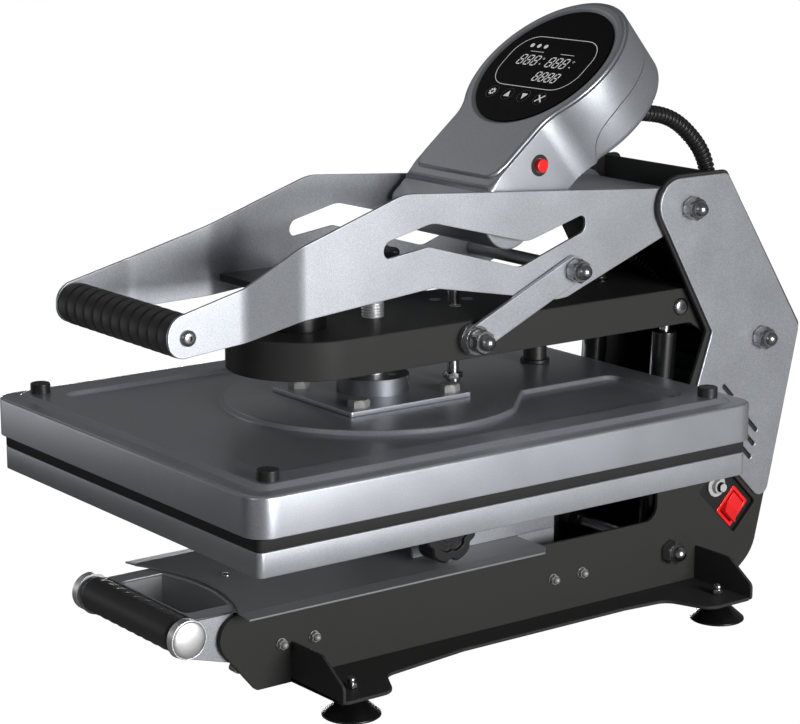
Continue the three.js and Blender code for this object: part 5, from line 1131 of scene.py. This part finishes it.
piece("arm_grommet", "arm", "rubber", foot_rubber, ["pressure_arm"],
      turned(grommet_rows, "z", HEATER_HOSE_PORT, 40))

# %% Electromagnet, pins, screw and knob
magnet_rows = profile((303.8, 25), (333.4, 25, 0.8), (333.4, 22.6, 0.4), (334, 19, 0.2), (336, 19, 0.5),
                      (336, 0.1))
MAGNET = (0, -78)
piece("electromagnet_can", "arm", "dark_steel", black_enamel, ["electromagnet"],
      turned(magnet_rows, "z", MAGNET, 72))
piece("spring_pin_bolt", "arm", "chrome", chrome, ["spring_pin"], rod(5, -65.5, 65.5, "x", SPRING_TOP),
      *[button_head(65.3 * side, side, SPRING_TOP, 8, 4, 2.8) for _, side in SIDES])
piece("pressure_screw_thread", "screw", "steel", satin_steel, ["pressure_screw"],
      threaded(9.9, 1.0, 2.5, 300, 347.2), rod(9.3, plate_top + 3.4, 300.5, "z"), rod(9.0, 346, 353, "z"))
knob_rows = profile((347.5, 9.8), (347.4, 20, 1.5), (347.4, 23, 2), (362, 23, 3), (362.2, 14, 2), (361, 0.1),
                    steps=5)
piece("pressure_knob_lobes", "screw", "black_plastic", black_plastic, ["pressure_knob"],
      turned(knob_rows, "z", (0, 0), 96, lobes=(6, 4.8)))

# %% A spring's lean and its eyes
spring_run = np.array([SPRING_TOP[0] - SPRING_FOOT[0], SPRING_TOP[1] - SPRING_FOOT[1]], dtype=float)
spring_long = float(np.linalg.norm(spring_run))
lean = spring_run / spring_long


def leaning(part, x):
    """Stands a part that was made along Z on the spring's foot, leaned towards the arm."""
    points, faces = part
    y = points[:, 1] * lean[1] + points[:, 2] * lean[0] + SPRING_FOOT[0]
    z = points[:, 2] * lean[1] - points[:, 1] * lean[0] + SPRING_FOOT[1]
    return np.stack([points[:, 0] + x, y, z], axis=1), faces


def eye(radius, hole, wide, z):
    """A ring across the spring: turned about X with its bore open."""
    rows = profile((-wide / 2, hole), (-wide / 2, radius, 0.6), (wide / 2, radius, 0.6), (wide / 2, hole),
                   (-wide / 2, hole))
    points, faces = turned(rows, "x", (0, z), 40)
    return points, faces[:-2]


# %% Cylinders and rods
SPRING_SIDE = 47
barrel_rows = profile((12, 5.8), (15, 5.8), (16, 11.5, 1.2), (200.2, 11.5, 1.5), (201, 9.4, 0.8), (201, 5.4),
                      (150, 5.4), (150, 0.1))
barrel_parts = [turned(barrel_rows, "z", (0, 0), 64), eye(12.5, 6.5, 12, 0)]
rod_parts = [rod(5, 131, spring_long - 10.5, "z"), eye(13, 8, 9.6, spring_long)]
for name, side in SIDES:
    piece(f"gas_cylinder_{name}_barrel", "gas_cylinders", "dark_steel", black_enamel,
          [f"gas_cylinder_{name}"], *[leaning(part, SPRING_SIDE * side) for part in barrel_parts])
    piece(f"gas_rod_{name}_rod", "gas_rods", "chrome", chrome, [f"gas_rod_{name}"],
          *[leaning(part, SPRING_SIDE * side) for part in rod_parts])

# %% [markdown]
# ## Lever
# Two silver plates, each with a long zigzag window, bend outwards in front to take the wide grip. The
# window and the outline are shares of the line from the grip to the pivot. A flat plate has too few
# points to bend, so it is first cut along the bend's arcs, and then each point moves sideways by the plan
# of the bend.

# %% Lever outline
LEVER_INNER, LEVER_SHEET, GRIP_INNER = 67, 3, 85
LEVER_HIGH, NOSE, LOBE = 67, 17.4, 24
TOP_SHARES = [(0.101, 0.41), (0.223, 0.66), (0.415, 1.02), (0.955, 0.31)]
LOW_SHARES = [(0.957, -0.324), (0.745, -0.80), (0.722, -0.80), (0.47, -0.236), (0.1, -0.235)]
WINDOW_SHARES = [(0.376, 0.474), (0.374, 0.267), (0.4616, 0.296), (0.6457, -0.258), (0.780, 0.009),
                 (0.782, 0.240), (0.660, 0.051), (0.469, 0.581)]


def lever_points(shares, radius):
    """Shares of the line from grip to pivot, and heights above it as shares of the lever's height."""
    shares = np.asarray(shares)
    line = np.array(LEVER_PIVOT, dtype=float) - GRIP_AXIS
    rise = np.stack([np.zeros(len(shares)), shares[:, 1] * LEVER_HIGH], axis=1)
    return [(y, z, radius) for y, z in GRIP_AXIS + shares[:, :1] * line + rise]


grip_rear, (pivot_y, pivot_z) = GRIP_AXIS[0] - NOSE, LEVER_PIVOT
lever_outline = rounded(
    [(grip_rear, GRIP_AXIS[1] - NOSE, NOSE), (grip_rear, GRIP_AXIS[1] + NOSE * 0.86, NOSE)]
    + lever_points(TOP_SHARES[:2], NOSE) + lever_points(TOP_SHARES[2:3], 45)
    + lever_points(TOP_SHARES[3:], NOSE)
    + [(pivot_y + LOBE, pivot_z + LOBE * 0.75, LOBE), (pivot_y + LOBE, pivot_z - LOBE, LOBE)]
    + lever_points(LOW_SHARES, NOSE / 2), 10)

# %% Window and bend
window = rounded(lever_points(WINDOW_SHARES[:3], NOSE / 2) + lever_points(WINDOW_SHARES[3:4], 16)
                 + lever_points(WINDOW_SHARES[4:6], NOSE / 2) + lever_points(WINDOW_SHARES[6:], 26), 8)
BEND_ROUND = 40
BEND_PLAN = rounded([(320, LEVER_INNER), (-121, LEVER_INNER, BEND_ROUND), (-186, GRIP_INNER, BEND_ROUND),
                     (-270, GRIP_INNER)], 8, False)


def bent(part, side):
    """Cuts the plate along the bend plan's points, then moves X by the plan at each point's Y."""
    points, faces = cut_across(part, 1, BEND_PLAN[1:-1, 0])
    plan = BEND_PLAN[np.argsort(BEND_PLAN[:, 0])]
    points[:, 0] += side * (np.interp(points[:, 1], plan[:, 0], plan[:, 1]) - LEVER_INNER)
    return points, faces


for name, side in SIDES:
    flat = plate(lever_outline, LEVER_INNER * side, (LEVER_INNER + LEVER_SHEET) * side,
                 [window] + drilled(SHAFT_HOLE, LEVER_PIVOT, LEVER_LINK) + drilled(4.2, GRIP_AXIS), 0.5)
    piece(f"lever_plate_{name}_sheet", "lever", "silver_paint", silver_paint, [f"lever_plate_{name}"],
          bent(flat, side), sharp=24)

# %% Bridge between the plates, over the pivot
BRIDGE_FRONT, BRIDGE_BEND, BRIDGE_REAR, BRIDGE_THICK, BRIDGE_DROP = 172, 268, 297, 3, 3
top_y, top_z = np.array(lever_points(TOP_SHARES[2:], 0))[:, :2].T
bridge_z = np.interp([BRIDGE_FRONT, BRIDGE_BEND], top_y, top_z) - BRIDGE_DROP
bridge_rise = (bridge_z[1] - bridge_z[0]) / (BRIDGE_BEND - BRIDGE_FRONT)
rear_z = bridge_z[0] + bridge_rise * (BRIDGE_REAR - BRIDGE_FRONT)
ends = np.array([[BRIDGE_FRONT, bridge_z[0]], [BRIDGE_REAR, rear_z]])
bridge_outline = np.concatenate([ends, ends[::-1] - (0, BRIDGE_THICK)])
piece("bridge_plate_sheet", "lever", "silver_paint", silver_paint, ["bridge_plate"],
      plate(bridge_outline, -LEVER_INNER + 0.3, LEVER_INNER - 0.3, (), 0.4))

# %% Tie rod and grip
piece("tie_rod_bar", "lever", "chrome", rod_steel, ["tie_rod"], rod(SHAFT, -76, 76, "x", LEVER_LINK))
piece("tie_rod_nuts", "lever", "chrome", chrome, ["tie_rod"],
      *[acorn_nut(75.5 * side, side, LEVER_LINK, **ACORN) for _, side in SIDES])


def ringed_foam(half, radius, rings, groove, wide):
    """Foam with round grooves: radius - groove * sqrt(1 - (distance / wide) ** 2) near each one."""
    places = np.linspace(-half, half, 24 * rings + 1)
    pitch = 2 * half / rings
    off = np.abs((places + half + pitch / 2) % pitch - pitch / 2)
    size = radius + 0.35 * np.sin(np.clip(off / (pitch / 2), 0, 1) * math.pi / 2) - 0.35
    size -= groove * np.sqrt(np.clip(1 - (off / wide) ** 2, 0, 1)) * (np.abs(places) < half - pitch / 3)
    ends = np.clip((half - np.abs(places)) / 1.5, 0, 1)
    size -= 1.2 * (1 - np.sqrt(ends * (2 - ends)))
    return turned(np.stack([places, size], axis=1), "x", GRIP_AXIS, 56)


piece("lever_grip_foam", "lever", "rubber", foam_rubber, ["lever_grip"],
      ringed_foam(84.7, 17.4, 12, 1.6, 1.3), sharp=60)
piece("grip_rod_bolt", "lever", "chrome", chrome, ["grip_rod"], rod(4, -88.5, 88.5, "x", GRIP_AXIS),
      *[button_head(88.2 * side, side, GRIP_AXIS, 6.5, 4, 2.2) for _, side in SIDES])

# %% Links and their bolts
LINK_INNER, LINK_OUTER, BOLT_INNER = 71.2, 75.2, 65.3


def link_outline(radius=12, steps=24):
    """Two half circles about the link's pivots, joined by straight sides."""
    run = np.array(LEVER_LINK, dtype=float) - ARM_LINK
    heading = math.atan2(run[1], run[0])
    t = np.linspace(0, math.pi, steps + 1)
    halves = ((ARM_LINK, heading + math.pi / 2 + t), (LEVER_LINK, heading - math.pi / 2 + t))
    return np.concatenate([np.stack([y + radius * np.cos(a), z + radius * np.sin(a)], axis=1)
                           for (y, z), a in halves])


for name, side in SIDES:
    bar = plate(link_outline(), LINK_INNER * side, LINK_OUTER * side,
                drilled(SHAFT_HOLE, LEVER_LINK, ARM_LINK), 0.6)
    piece(f"link_{name}_bar", "links", "silver_paint", silver_paint, [f"link_{name}"], bar)
    bolt = [rod(13, BOLT_INNER * side, 70.9 * side, "x", ARM_LINK),
            rod(SHAFT, BOLT_INNER * side, 77.4 * side, "x", ARM_LINK),
            rod(12.5, 75.5 * side, 77 * side, "x", ARM_LINK, 0.4),
            acorn_nut(76.7 * side, side, ARM_LINK, **ACORN)]
    piece(f"link_bolt_{name}_nut", "links", "chrome", chrome, [f"link_bolt_{name}"], *bolt)

# %% [markdown]
# ## Control head
# The head is a round casing on a neck, tilted towards the user. Its face has one outline: a circle that
# runs through a hollow curve into two straight sides. Everything is worked out in the directions of the
# face: x across, s up along it and d in behind it. The wall is a profile carried round the outline, first
# the raised face with its soft edge, then a narrow ledge, the wall itself down to the seam, and behind
# the seam the back shell.

# %% The face's directions
TILT = math.radians(39.87)
FACE = 269.2
CENTRE, HEAD_RADIUS, NECK_HALF, HEAD_DEEP = 467.2, 83.0, 60.0, 64.5


def from_face(x, s, d):
    """The point s up the face and d behind it: Y = s cos - (FACE - d) sin, Z = s sin + (FACE - d) cos."""
    out = FACE - np.asarray(d, dtype=float)
    y = np.asarray(s) * math.cos(TILT) - out * math.sin(TILT)
    z = np.asarray(s) * math.sin(TILT) + out * math.cos(TILT)
    return np.stack(np.broadcast_arrays(np.asarray(x, dtype=float), y, z), axis=-1)


def tilted(part):
    """A part made with x, s and d as its three coordinates, moved to the face."""
    points, faces = part
    return from_face(*np.asarray(points).T), faces


# %% The face's outline
BLEND, NECK_LOW = 40.0, 322.0


def head_outline(steps=96):
    """Right side up, a hollow arc of radius BLEND, the circle over the top, and down the left side."""
    rise = math.sqrt((HEAD_RADIUS + BLEND) ** 2 - (NECK_HALF + BLEND) ** 2)
    corner = math.atan2(rise, NECK_HALF + BLEND)
    hollow = math.pi - np.linspace(0, corner, 16)[:-1]
    right = np.stack([NECK_HALF + BLEND + BLEND * np.cos(hollow), CENTRE - rise + BLEND * np.sin(hollow)],
                     axis=1)
    over = np.linspace(-corner, math.pi + corner, steps)
    top = np.stack([HEAD_RADIUS * np.cos(over), CENTRE + HEAD_RADIUS * np.sin(over)], axis=1)
    left = right[::-1] * (-1, 1)
    straight = np.linspace(NECK_LOW + 14, CENTRE - rise, 12)[:-1]
    low = rounded([(-NECK_HALF, NECK_LOW + 14), (-NECK_HALF, NECK_LOW, 3), (NECK_HALF, NECK_LOW, 3),
                   (NECK_HALF, NECK_LOW + 14)], 6, False)[1:-1]
    ups = np.stack([np.full(11, NECK_HALF), straight], axis=1)
    return np.concatenate([ups, right, top, left, (ups * (-1, 1))[::-1], low])


SEAM = np.array([(410, 90), (419, 66), (424, 52), (429, 44.5), (436, 39), (446, 35.5), (462, 33), (560, 33)])
outline = head_outline()
seam_depth = np.interp(outline[:, 1], SEAM[:, 0], SEAM[:, 1])
print("points round the head's outline:", len(outline))


# %% Bands round the outline
def shell_band(rows):
    """Loops of the head's outline at [inset, depth]; an inset or depth may differ from point to point."""
    loops = [(inset(outline, np.broadcast_to(np.asarray(far, dtype=float), len(outline))),
              np.broadcast_to(np.asarray(deep, dtype=float), len(outline))) for far, deep in rows]
    points = np.concatenate([np.column_stack([loop, deep]) for loop, deep in loops])
    return points, grid_faces(len(rows), len(outline)), [loop for loop, _ in loops]


EDGE, LEDGE, PAD_RISE, PAD_ROUND, LIP = 3.2, 1.8, 2.6, 0.9, 335.0
SOFT_TOP, SOFT_LOW, SOFT_FROM, SOFT_RUN = 0.8, 5, 340, 14
GLASS, GLASS_SUNK, SEAT_STEPS = 69.2, 0.8, 120


# %% The raised face
def pad_outline():
    """The raised face: the outline drawn in, ending in a straight lip above the neck's foot."""
    near = inset(outline, LEDGE + PAD_ROUND)
    keep = near[near[:, 1] > LIP + 12]
    x, s = keep[keep[:, 0] > 0][0]
    lip = rounded([(-x, s), (-x + 4, LIP, 12), (x - 4, LIP, 12), (x, s)], 8, False)
    return np.concatenate([keep, lip[1:-1]])


# %% Front shell
def front_shell():
    """The wall from the seam to the ledge, the ledge, and the raised face with the glass's seat."""
    t = np.linspace(0, math.pi / 2, 6)
    bottom_edge = np.clip((SOFT_FROM - outline[:, 1]) / SOFT_RUN, 0, 1)
    soft = SOFT_TOP + SOFT_LOW * bottom_edge
    seam_edge = np.minimum(seam_depth, HEAD_DEEP) - 0.2
    rows = [(3.0, seam_edge), (0.5, seam_edge), (0.0, seam_edge - 0.4)]
    rows += [(soft * (1 - math.cos(a)), PAD_RISE + soft * (1 - math.sin(a))) for a in t]
    points, faces, loops = shell_band(rows)
    pad = pad_outline()
    hollow = np.linspace(0, math.pi / 2, 5)
    pad_rows = [(-PAD_ROUND * (1 - math.sin(a)), PAD_RISE - PAD_ROUND * (1 - math.cos(a))) for a in hollow]
    pad_rows += [(EDGE * 0.9 * (1 - math.cos(a)), (PAD_RISE - PAD_ROUND) * (1 - math.sin(a))) for a in t]
    pad_rows += [(EDGE * 0.9 + 0.6, 0)]
    pad_loops = [inset(pad, far) for far, _ in pad_rows]
    seat_rows = [(73.9, 0), (73.3, 0), (72.4, 0.15), (70.2, 1.5), (69.3, 1.8), (69.3, 4)]
    seats = [circle(0, CENTRE, radius, SEAT_STEPS) for radius, _ in seat_rows]
    first = len(points)
    second = first + len(pad_rows) * len(pad)
    last = second + (len(seat_rows) - 1) * SEAT_STEPS
    stacked = [points] + [level(loop, deep) for loop, (_, deep) in zip(pad_loops, pad_rows)]
    stacked += [level(loop, deep) for loop, (_, deep) in zip(seats, seat_rows)]
    faces += grid_faces(len(pad_rows), len(pad), first)
    faces += cap_faces([loops[-1], pad_loops[0]], [first - len(outline), first])
    faces += grid_faces(len(seat_rows), SEAT_STEPS, second)
    faces += cap_faces([pad_loops[-1], seats[0]], [second - len(pad), second])
    faces += [tuple(range(last, last + SEAT_STEPS))]
    return np.concatenate(stacked), faces + cap_faces([loops[0]], [0])


# %% Back shell
def back_shell():
    """Behind the seam: the wall, a wide soft edge, and the flat back."""
    t = np.linspace(0, math.pi / 2, 8)
    start = np.minimum(seam_depth + 0.2, HEAD_DEEP - 0.5)
    soft = np.minimum(7.0, HEAD_DEEP - start - 0.1)
    rows = [(3.0, start), (0.4, start), (0.0, np.minimum(start + 0.4, HEAD_DEEP - 0.2))]
    rows += [(soft * (1 - math.cos(a)), HEAD_DEEP - soft * (1 - math.sin(a))) for a in t]
    points, faces, loops = shell_band(rows)
    last = (len(rows) - 1) * len(outline)
    return points, faces + cap_faces([loops[0]], [0]) + cap_faces([loops[-1]], [last])


# %% Casings and neck
piece("head_front_casing", "lever", "silver_paint", head_paint, ["head_front_shell"], tilted(front_shell()),
      sharp=30)
CONTROL_HOSE_PORT = (45, 463.4)
socket_rows = profile((222, 8), (222, 10.5, 0.5), (243.2, 10.5, 1.5), (243.2, 7.6, 0.6), (236, 7.6),
                      (236, 0.1))
piece("head_back_casing", "lever", "silver_paint", head_paint, ["head_rear_shell"], tilted(back_shell()),
      turned(socket_rows, "y", CONTROL_HOSE_PORT, 48), sharp=30)
neck_slice = rounded([(340, 5.5), (298, 7, 9), (298, HEAD_DEEP, 26), (415, HEAD_DEEP), (415, 8)], 12)
neck_side = from_face(0, *neck_slice.T)[:, 1:]
piece("head_neck", "lever", "silver_paint", head_paint, ["head_front_shell"],
      plate(neck_side, -NECK_HALF + 0.2, NECK_HALF - 0.2, (), 1.5))

# %% [markdown]
# ## Display and buttons
# A black glass fills the seat. Its markings are printed: a thin frame, three dots, rows of seven-segment
# digits and four round touch keys. Each is a thin raised print, made of bars and rings. The white marks
# also glow faintly, which is a painted glow; the rings round the keys are dim grey print without it.

# %% Glass and prints
glass_rows = profile((GLASS_SUNK + 2, 0.1), (GLASS_SUNK + 2, GLASS), (GLASS_SUNK, GLASS, 0.4),
                     (GLASS_SUNK, 0.1))
piece("display_glass_disc", "lever", "display", display_glass, ["display_glass"],
      tilted(turned(glass_rows, "z", (0, CENTRE), SEAT_STEPS)))
INK_LOW, INK_HIGH = GLASS_SUNK - 0.06, GLASS_SUNK + 0.05


def ink(outline_points, holes=()):
    """A print: an outline a few hundredths of a millimetre proud of the glass."""
    return plate(outline_points, INK_LOW, INK_HIGH, holes, 0.01, "z")


def ink_line(loop, wide):
    """A thin closed line: a loop and the same loop moved in by its width."""
    loop = left_turning(loop)
    return ink(loop, [inset(loop, wide)])


# %% Digits
def digit(x, s, high=11.4, wide=6, bar=1.15, slant=0.16):
    """An eight: seven bars with pointed ends, leaned to the right."""
    half, tall = wide / 2, high / 2
    level_bar = np.array([(-half + 0.5, 0), (-half + 1, bar / 2), (half - 1, bar / 2), (half - 0.5, 0),
                          (half - 1, -bar / 2), (-half + 1, -bar / 2)])
    upright = np.array([(0, 0.35), (bar / 2, 0.9), (bar / 2, tall - 0.9), (0, tall - 0.35),
                        (-bar / 2, tall - 0.9), (-bar / 2, 0.9)])
    bars = [level_bar + (0, place) for place in (-tall, 0, tall)]
    bars += [upright + (place, lift) for place in (-half, half) for lift in (-tall, 0)]
    return [ink(shape + np.outer(shape[:, 1], (slant, 0)) + (x, s)) for shape in bars]


def on_glass(x, up):
    """A place on the glass: across, and up from its middle."""
    return x, CENTRE + up


def dot(x, up, radius, steps):
    """A printed dot on the glass."""
    return ink(circle(*on_glass(x, up), radius, steps))


# %% Marks
marks = [ink_line(box_outline(-55.5, 54.5, CENTRE - 27.5, CENTRE + 34, 24), 0.6)]
marks += [dot(x, 22.2, 2.4, 20) for x in (-36, -26.7, -17.4)]
for x in (-34.2, -24.8, -15.4, 4.8, 14.2, 23.6):
    marks += digit(*on_glass(x, 4.6))
for x in (3, 11.2, 19.4, 27.6):
    marks += digit(*on_glass(x, -13.2), 10.6, 5.4)
marks += [ink(box_outline(x - 9, x + 9, CENTRE + 15, CENTRE + 15.5)) for x in (-23, 18)]
for x in (-7, 33):
    marks += [ink_line(circle(*on_glass(x, 8), 1.1, 12), 0.4), dot(x, 1.2, 0.8, 10)]

# %% Touch keys
KEYS = ((-36.4, -37), (-14.5, -37.6), (7.4, -37.6), (29.8, -38))
GEAR_TEETH = 8
teeth = 3.4 + 0.6 * np.sign(np.cos(GEAR_TEETH * full_turn(40)))
gear = circle(0, 0, 1, 40) * teeth[:, None] + on_glass(*KEYS[0])
marks.append(ink(gear, [circle(*on_glass(*KEYS[0]), 1.8, 20)]))
for (x, up), way in ((KEYS[1], 1), (KEYS[2], -1)):
    arrow = np.array([(-3.6, -3 * way), (3.6, -3 * way), (0, 4 * way)])
    marks.append(ink(arrow + on_glass(x, up)))
quarter = 1.5 * np.array([(1, 0.45), (3, 2.2), (2.2, 3), (0.45, 1)])
turns = [np.array([[math.cos(a), math.sin(a)], [-math.sin(a), math.cos(a)]]) for a in full_turn(4)]
marks.append(ink(np.concatenate([quarter @ turn for turn in turns]) + on_glass(*KEYS[3])))
# The marks are white print with a painted glow.
piece("display_marks", "lever", "display", display_ink_painted_glow, ["display_glass"], *[tilted(part) for part in marks])
rings = [ink_line(circle(*on_glass(x, up), 7.2, 40), 0.4) for x, up in KEYS]
piece("key_rings", "lever", "display", dim_ink, ["display_glass"], *[tilted(part) for part in rings])

# %% Release button
BUTTON = (133, 428.4)
button_rows = profile((52, 0.1), (52, 5.9), (65, 5.9, 0.9), (65, 0.1), steps=5)
piece("release_button_cap", "release", "red_plastic", red_plastic, ["release_button"],
      turned(button_rows, "x", BUTTON, 48))
rim_rows = profile((56, 6.2), (60.2, 6.2), (60.2, 9.4, 0.1), (59.5, 9.4))
piece("release_button_rim", "lever", "black_plastic", black_plastic, ["head_front_shell"],
      turned(rim_rows, "x", BUTTON, 48))

# %% [markdown]
# ## Studio
# The photograph is lit from the right: right-hand faces are bright, fronts are half as bright and tops
# are dark. So the key is a large low panel on the right. Weaker panels stand in front and on the left,
# one above only shows as a reflection, and a strip low behind the left lights the rear. The floor and the
# world are white to the camera.


# %% Lights
def panel(name, place, target, wide, high, watts):
    """An area light that faces a point of the press."""
    light = bpy.data.lights.new(name, "AREA")
    light.shape = "RECTANGLE"
    light.size, light.size_y, light.energy = wide, high, watts
    lamp = bpy.data.objects.new(name, light)
    lamp.location = place
    lamp.rotation_euler = (Vector(target) - Vector(place)).to_track_quat("-Z", "Y").to_euler()
    bpy.context.collection.objects.link(lamp)
    return lamp


MIDDLE = (0, 0, 0.25)
panel("key", (2.14, 0.19, 0.5), MIDDLE, 1.0, 0.8, 41)
panel("front", (0.6, -2.4, 1.0), MIDDLE, 1.0, 0.8, 4)
panel("left", (-1.1, -0.8, 0.2), MIDDLE, 0.5, 0.35, 0.6)
above = panel("above", (-1.9, -0.3, 1.9), MIDDLE, 1.0, 1.0, 1.45)
above.visible_diffuse = False
panel("behind", (-2.1, 1.3, 0.05), (0, 0, 0.05), 1.8, 0.07, 24)
print("lights:", [f"{lamp.name} {lamp.energy:.2f} W" for lamp in bpy.data.lights])

# %% World
GLOSSY_WHITE, SOFT_LIGHT = 0.12, 0.016
world = bpy.data.worlds.new("studio")
bpy.context.scene.world = world
world.use_nodes = True
world.node_tree.nodes.clear()
studio = Nodes(world.node_tree)
shown = studio.rays("Camera").most(studio.rays("Transmission")).most(studio.rays("Glossy") * GLOSSY_WHITE)
soft = studio.node("ShaderNodeBackground", Color=(0.9, 0.93, 1.0, 1), Strength=SOFT_LIGHT)
white = studio.node("ShaderNodeBackground", Color=(1, 1, 1, 1), Strength=1.0)
studio.node("ShaderNodeOutputWorld", Surface=studio.mixed(shown, soft.outputs[0], white.outputs[0]))

# %% Floor
REACH, PAPER_WHITE = 9.0, 0.97
floor_mesh = bpy.data.meshes.new("floor")
floor_corners = [(-REACH, -REACH, 0), (REACH, -REACH, 0), (REACH, REACH, 0), (-REACH, REACH, 0)]
floor_mesh.from_pydata(floor_corners, [], [(0, 1, 2, 3)])
floor = bpy.data.objects.new("floor", floor_mesh)
bpy.context.collection.objects.link(floor)
paper = Finish("floor_paper", (0.5, 0.5, 0.5), 0.9)
glow = paper.node("ShaderNodeEmission", Color=(1, 1, 1, 1), Strength=1.04)
seen = paper.rays("Camera").most(paper.rays("Transmission")) * PAPER_WHITE
surface = next(node for node in paper.tree.nodes if node.type == "OUTPUT_MATERIAL")
paper.tree.links.new(paper.mixed(seen, paper.shader.outputs[0], glow.outputs[0]), surface.inputs[0])
floor_mesh.materials.append(paper.material)
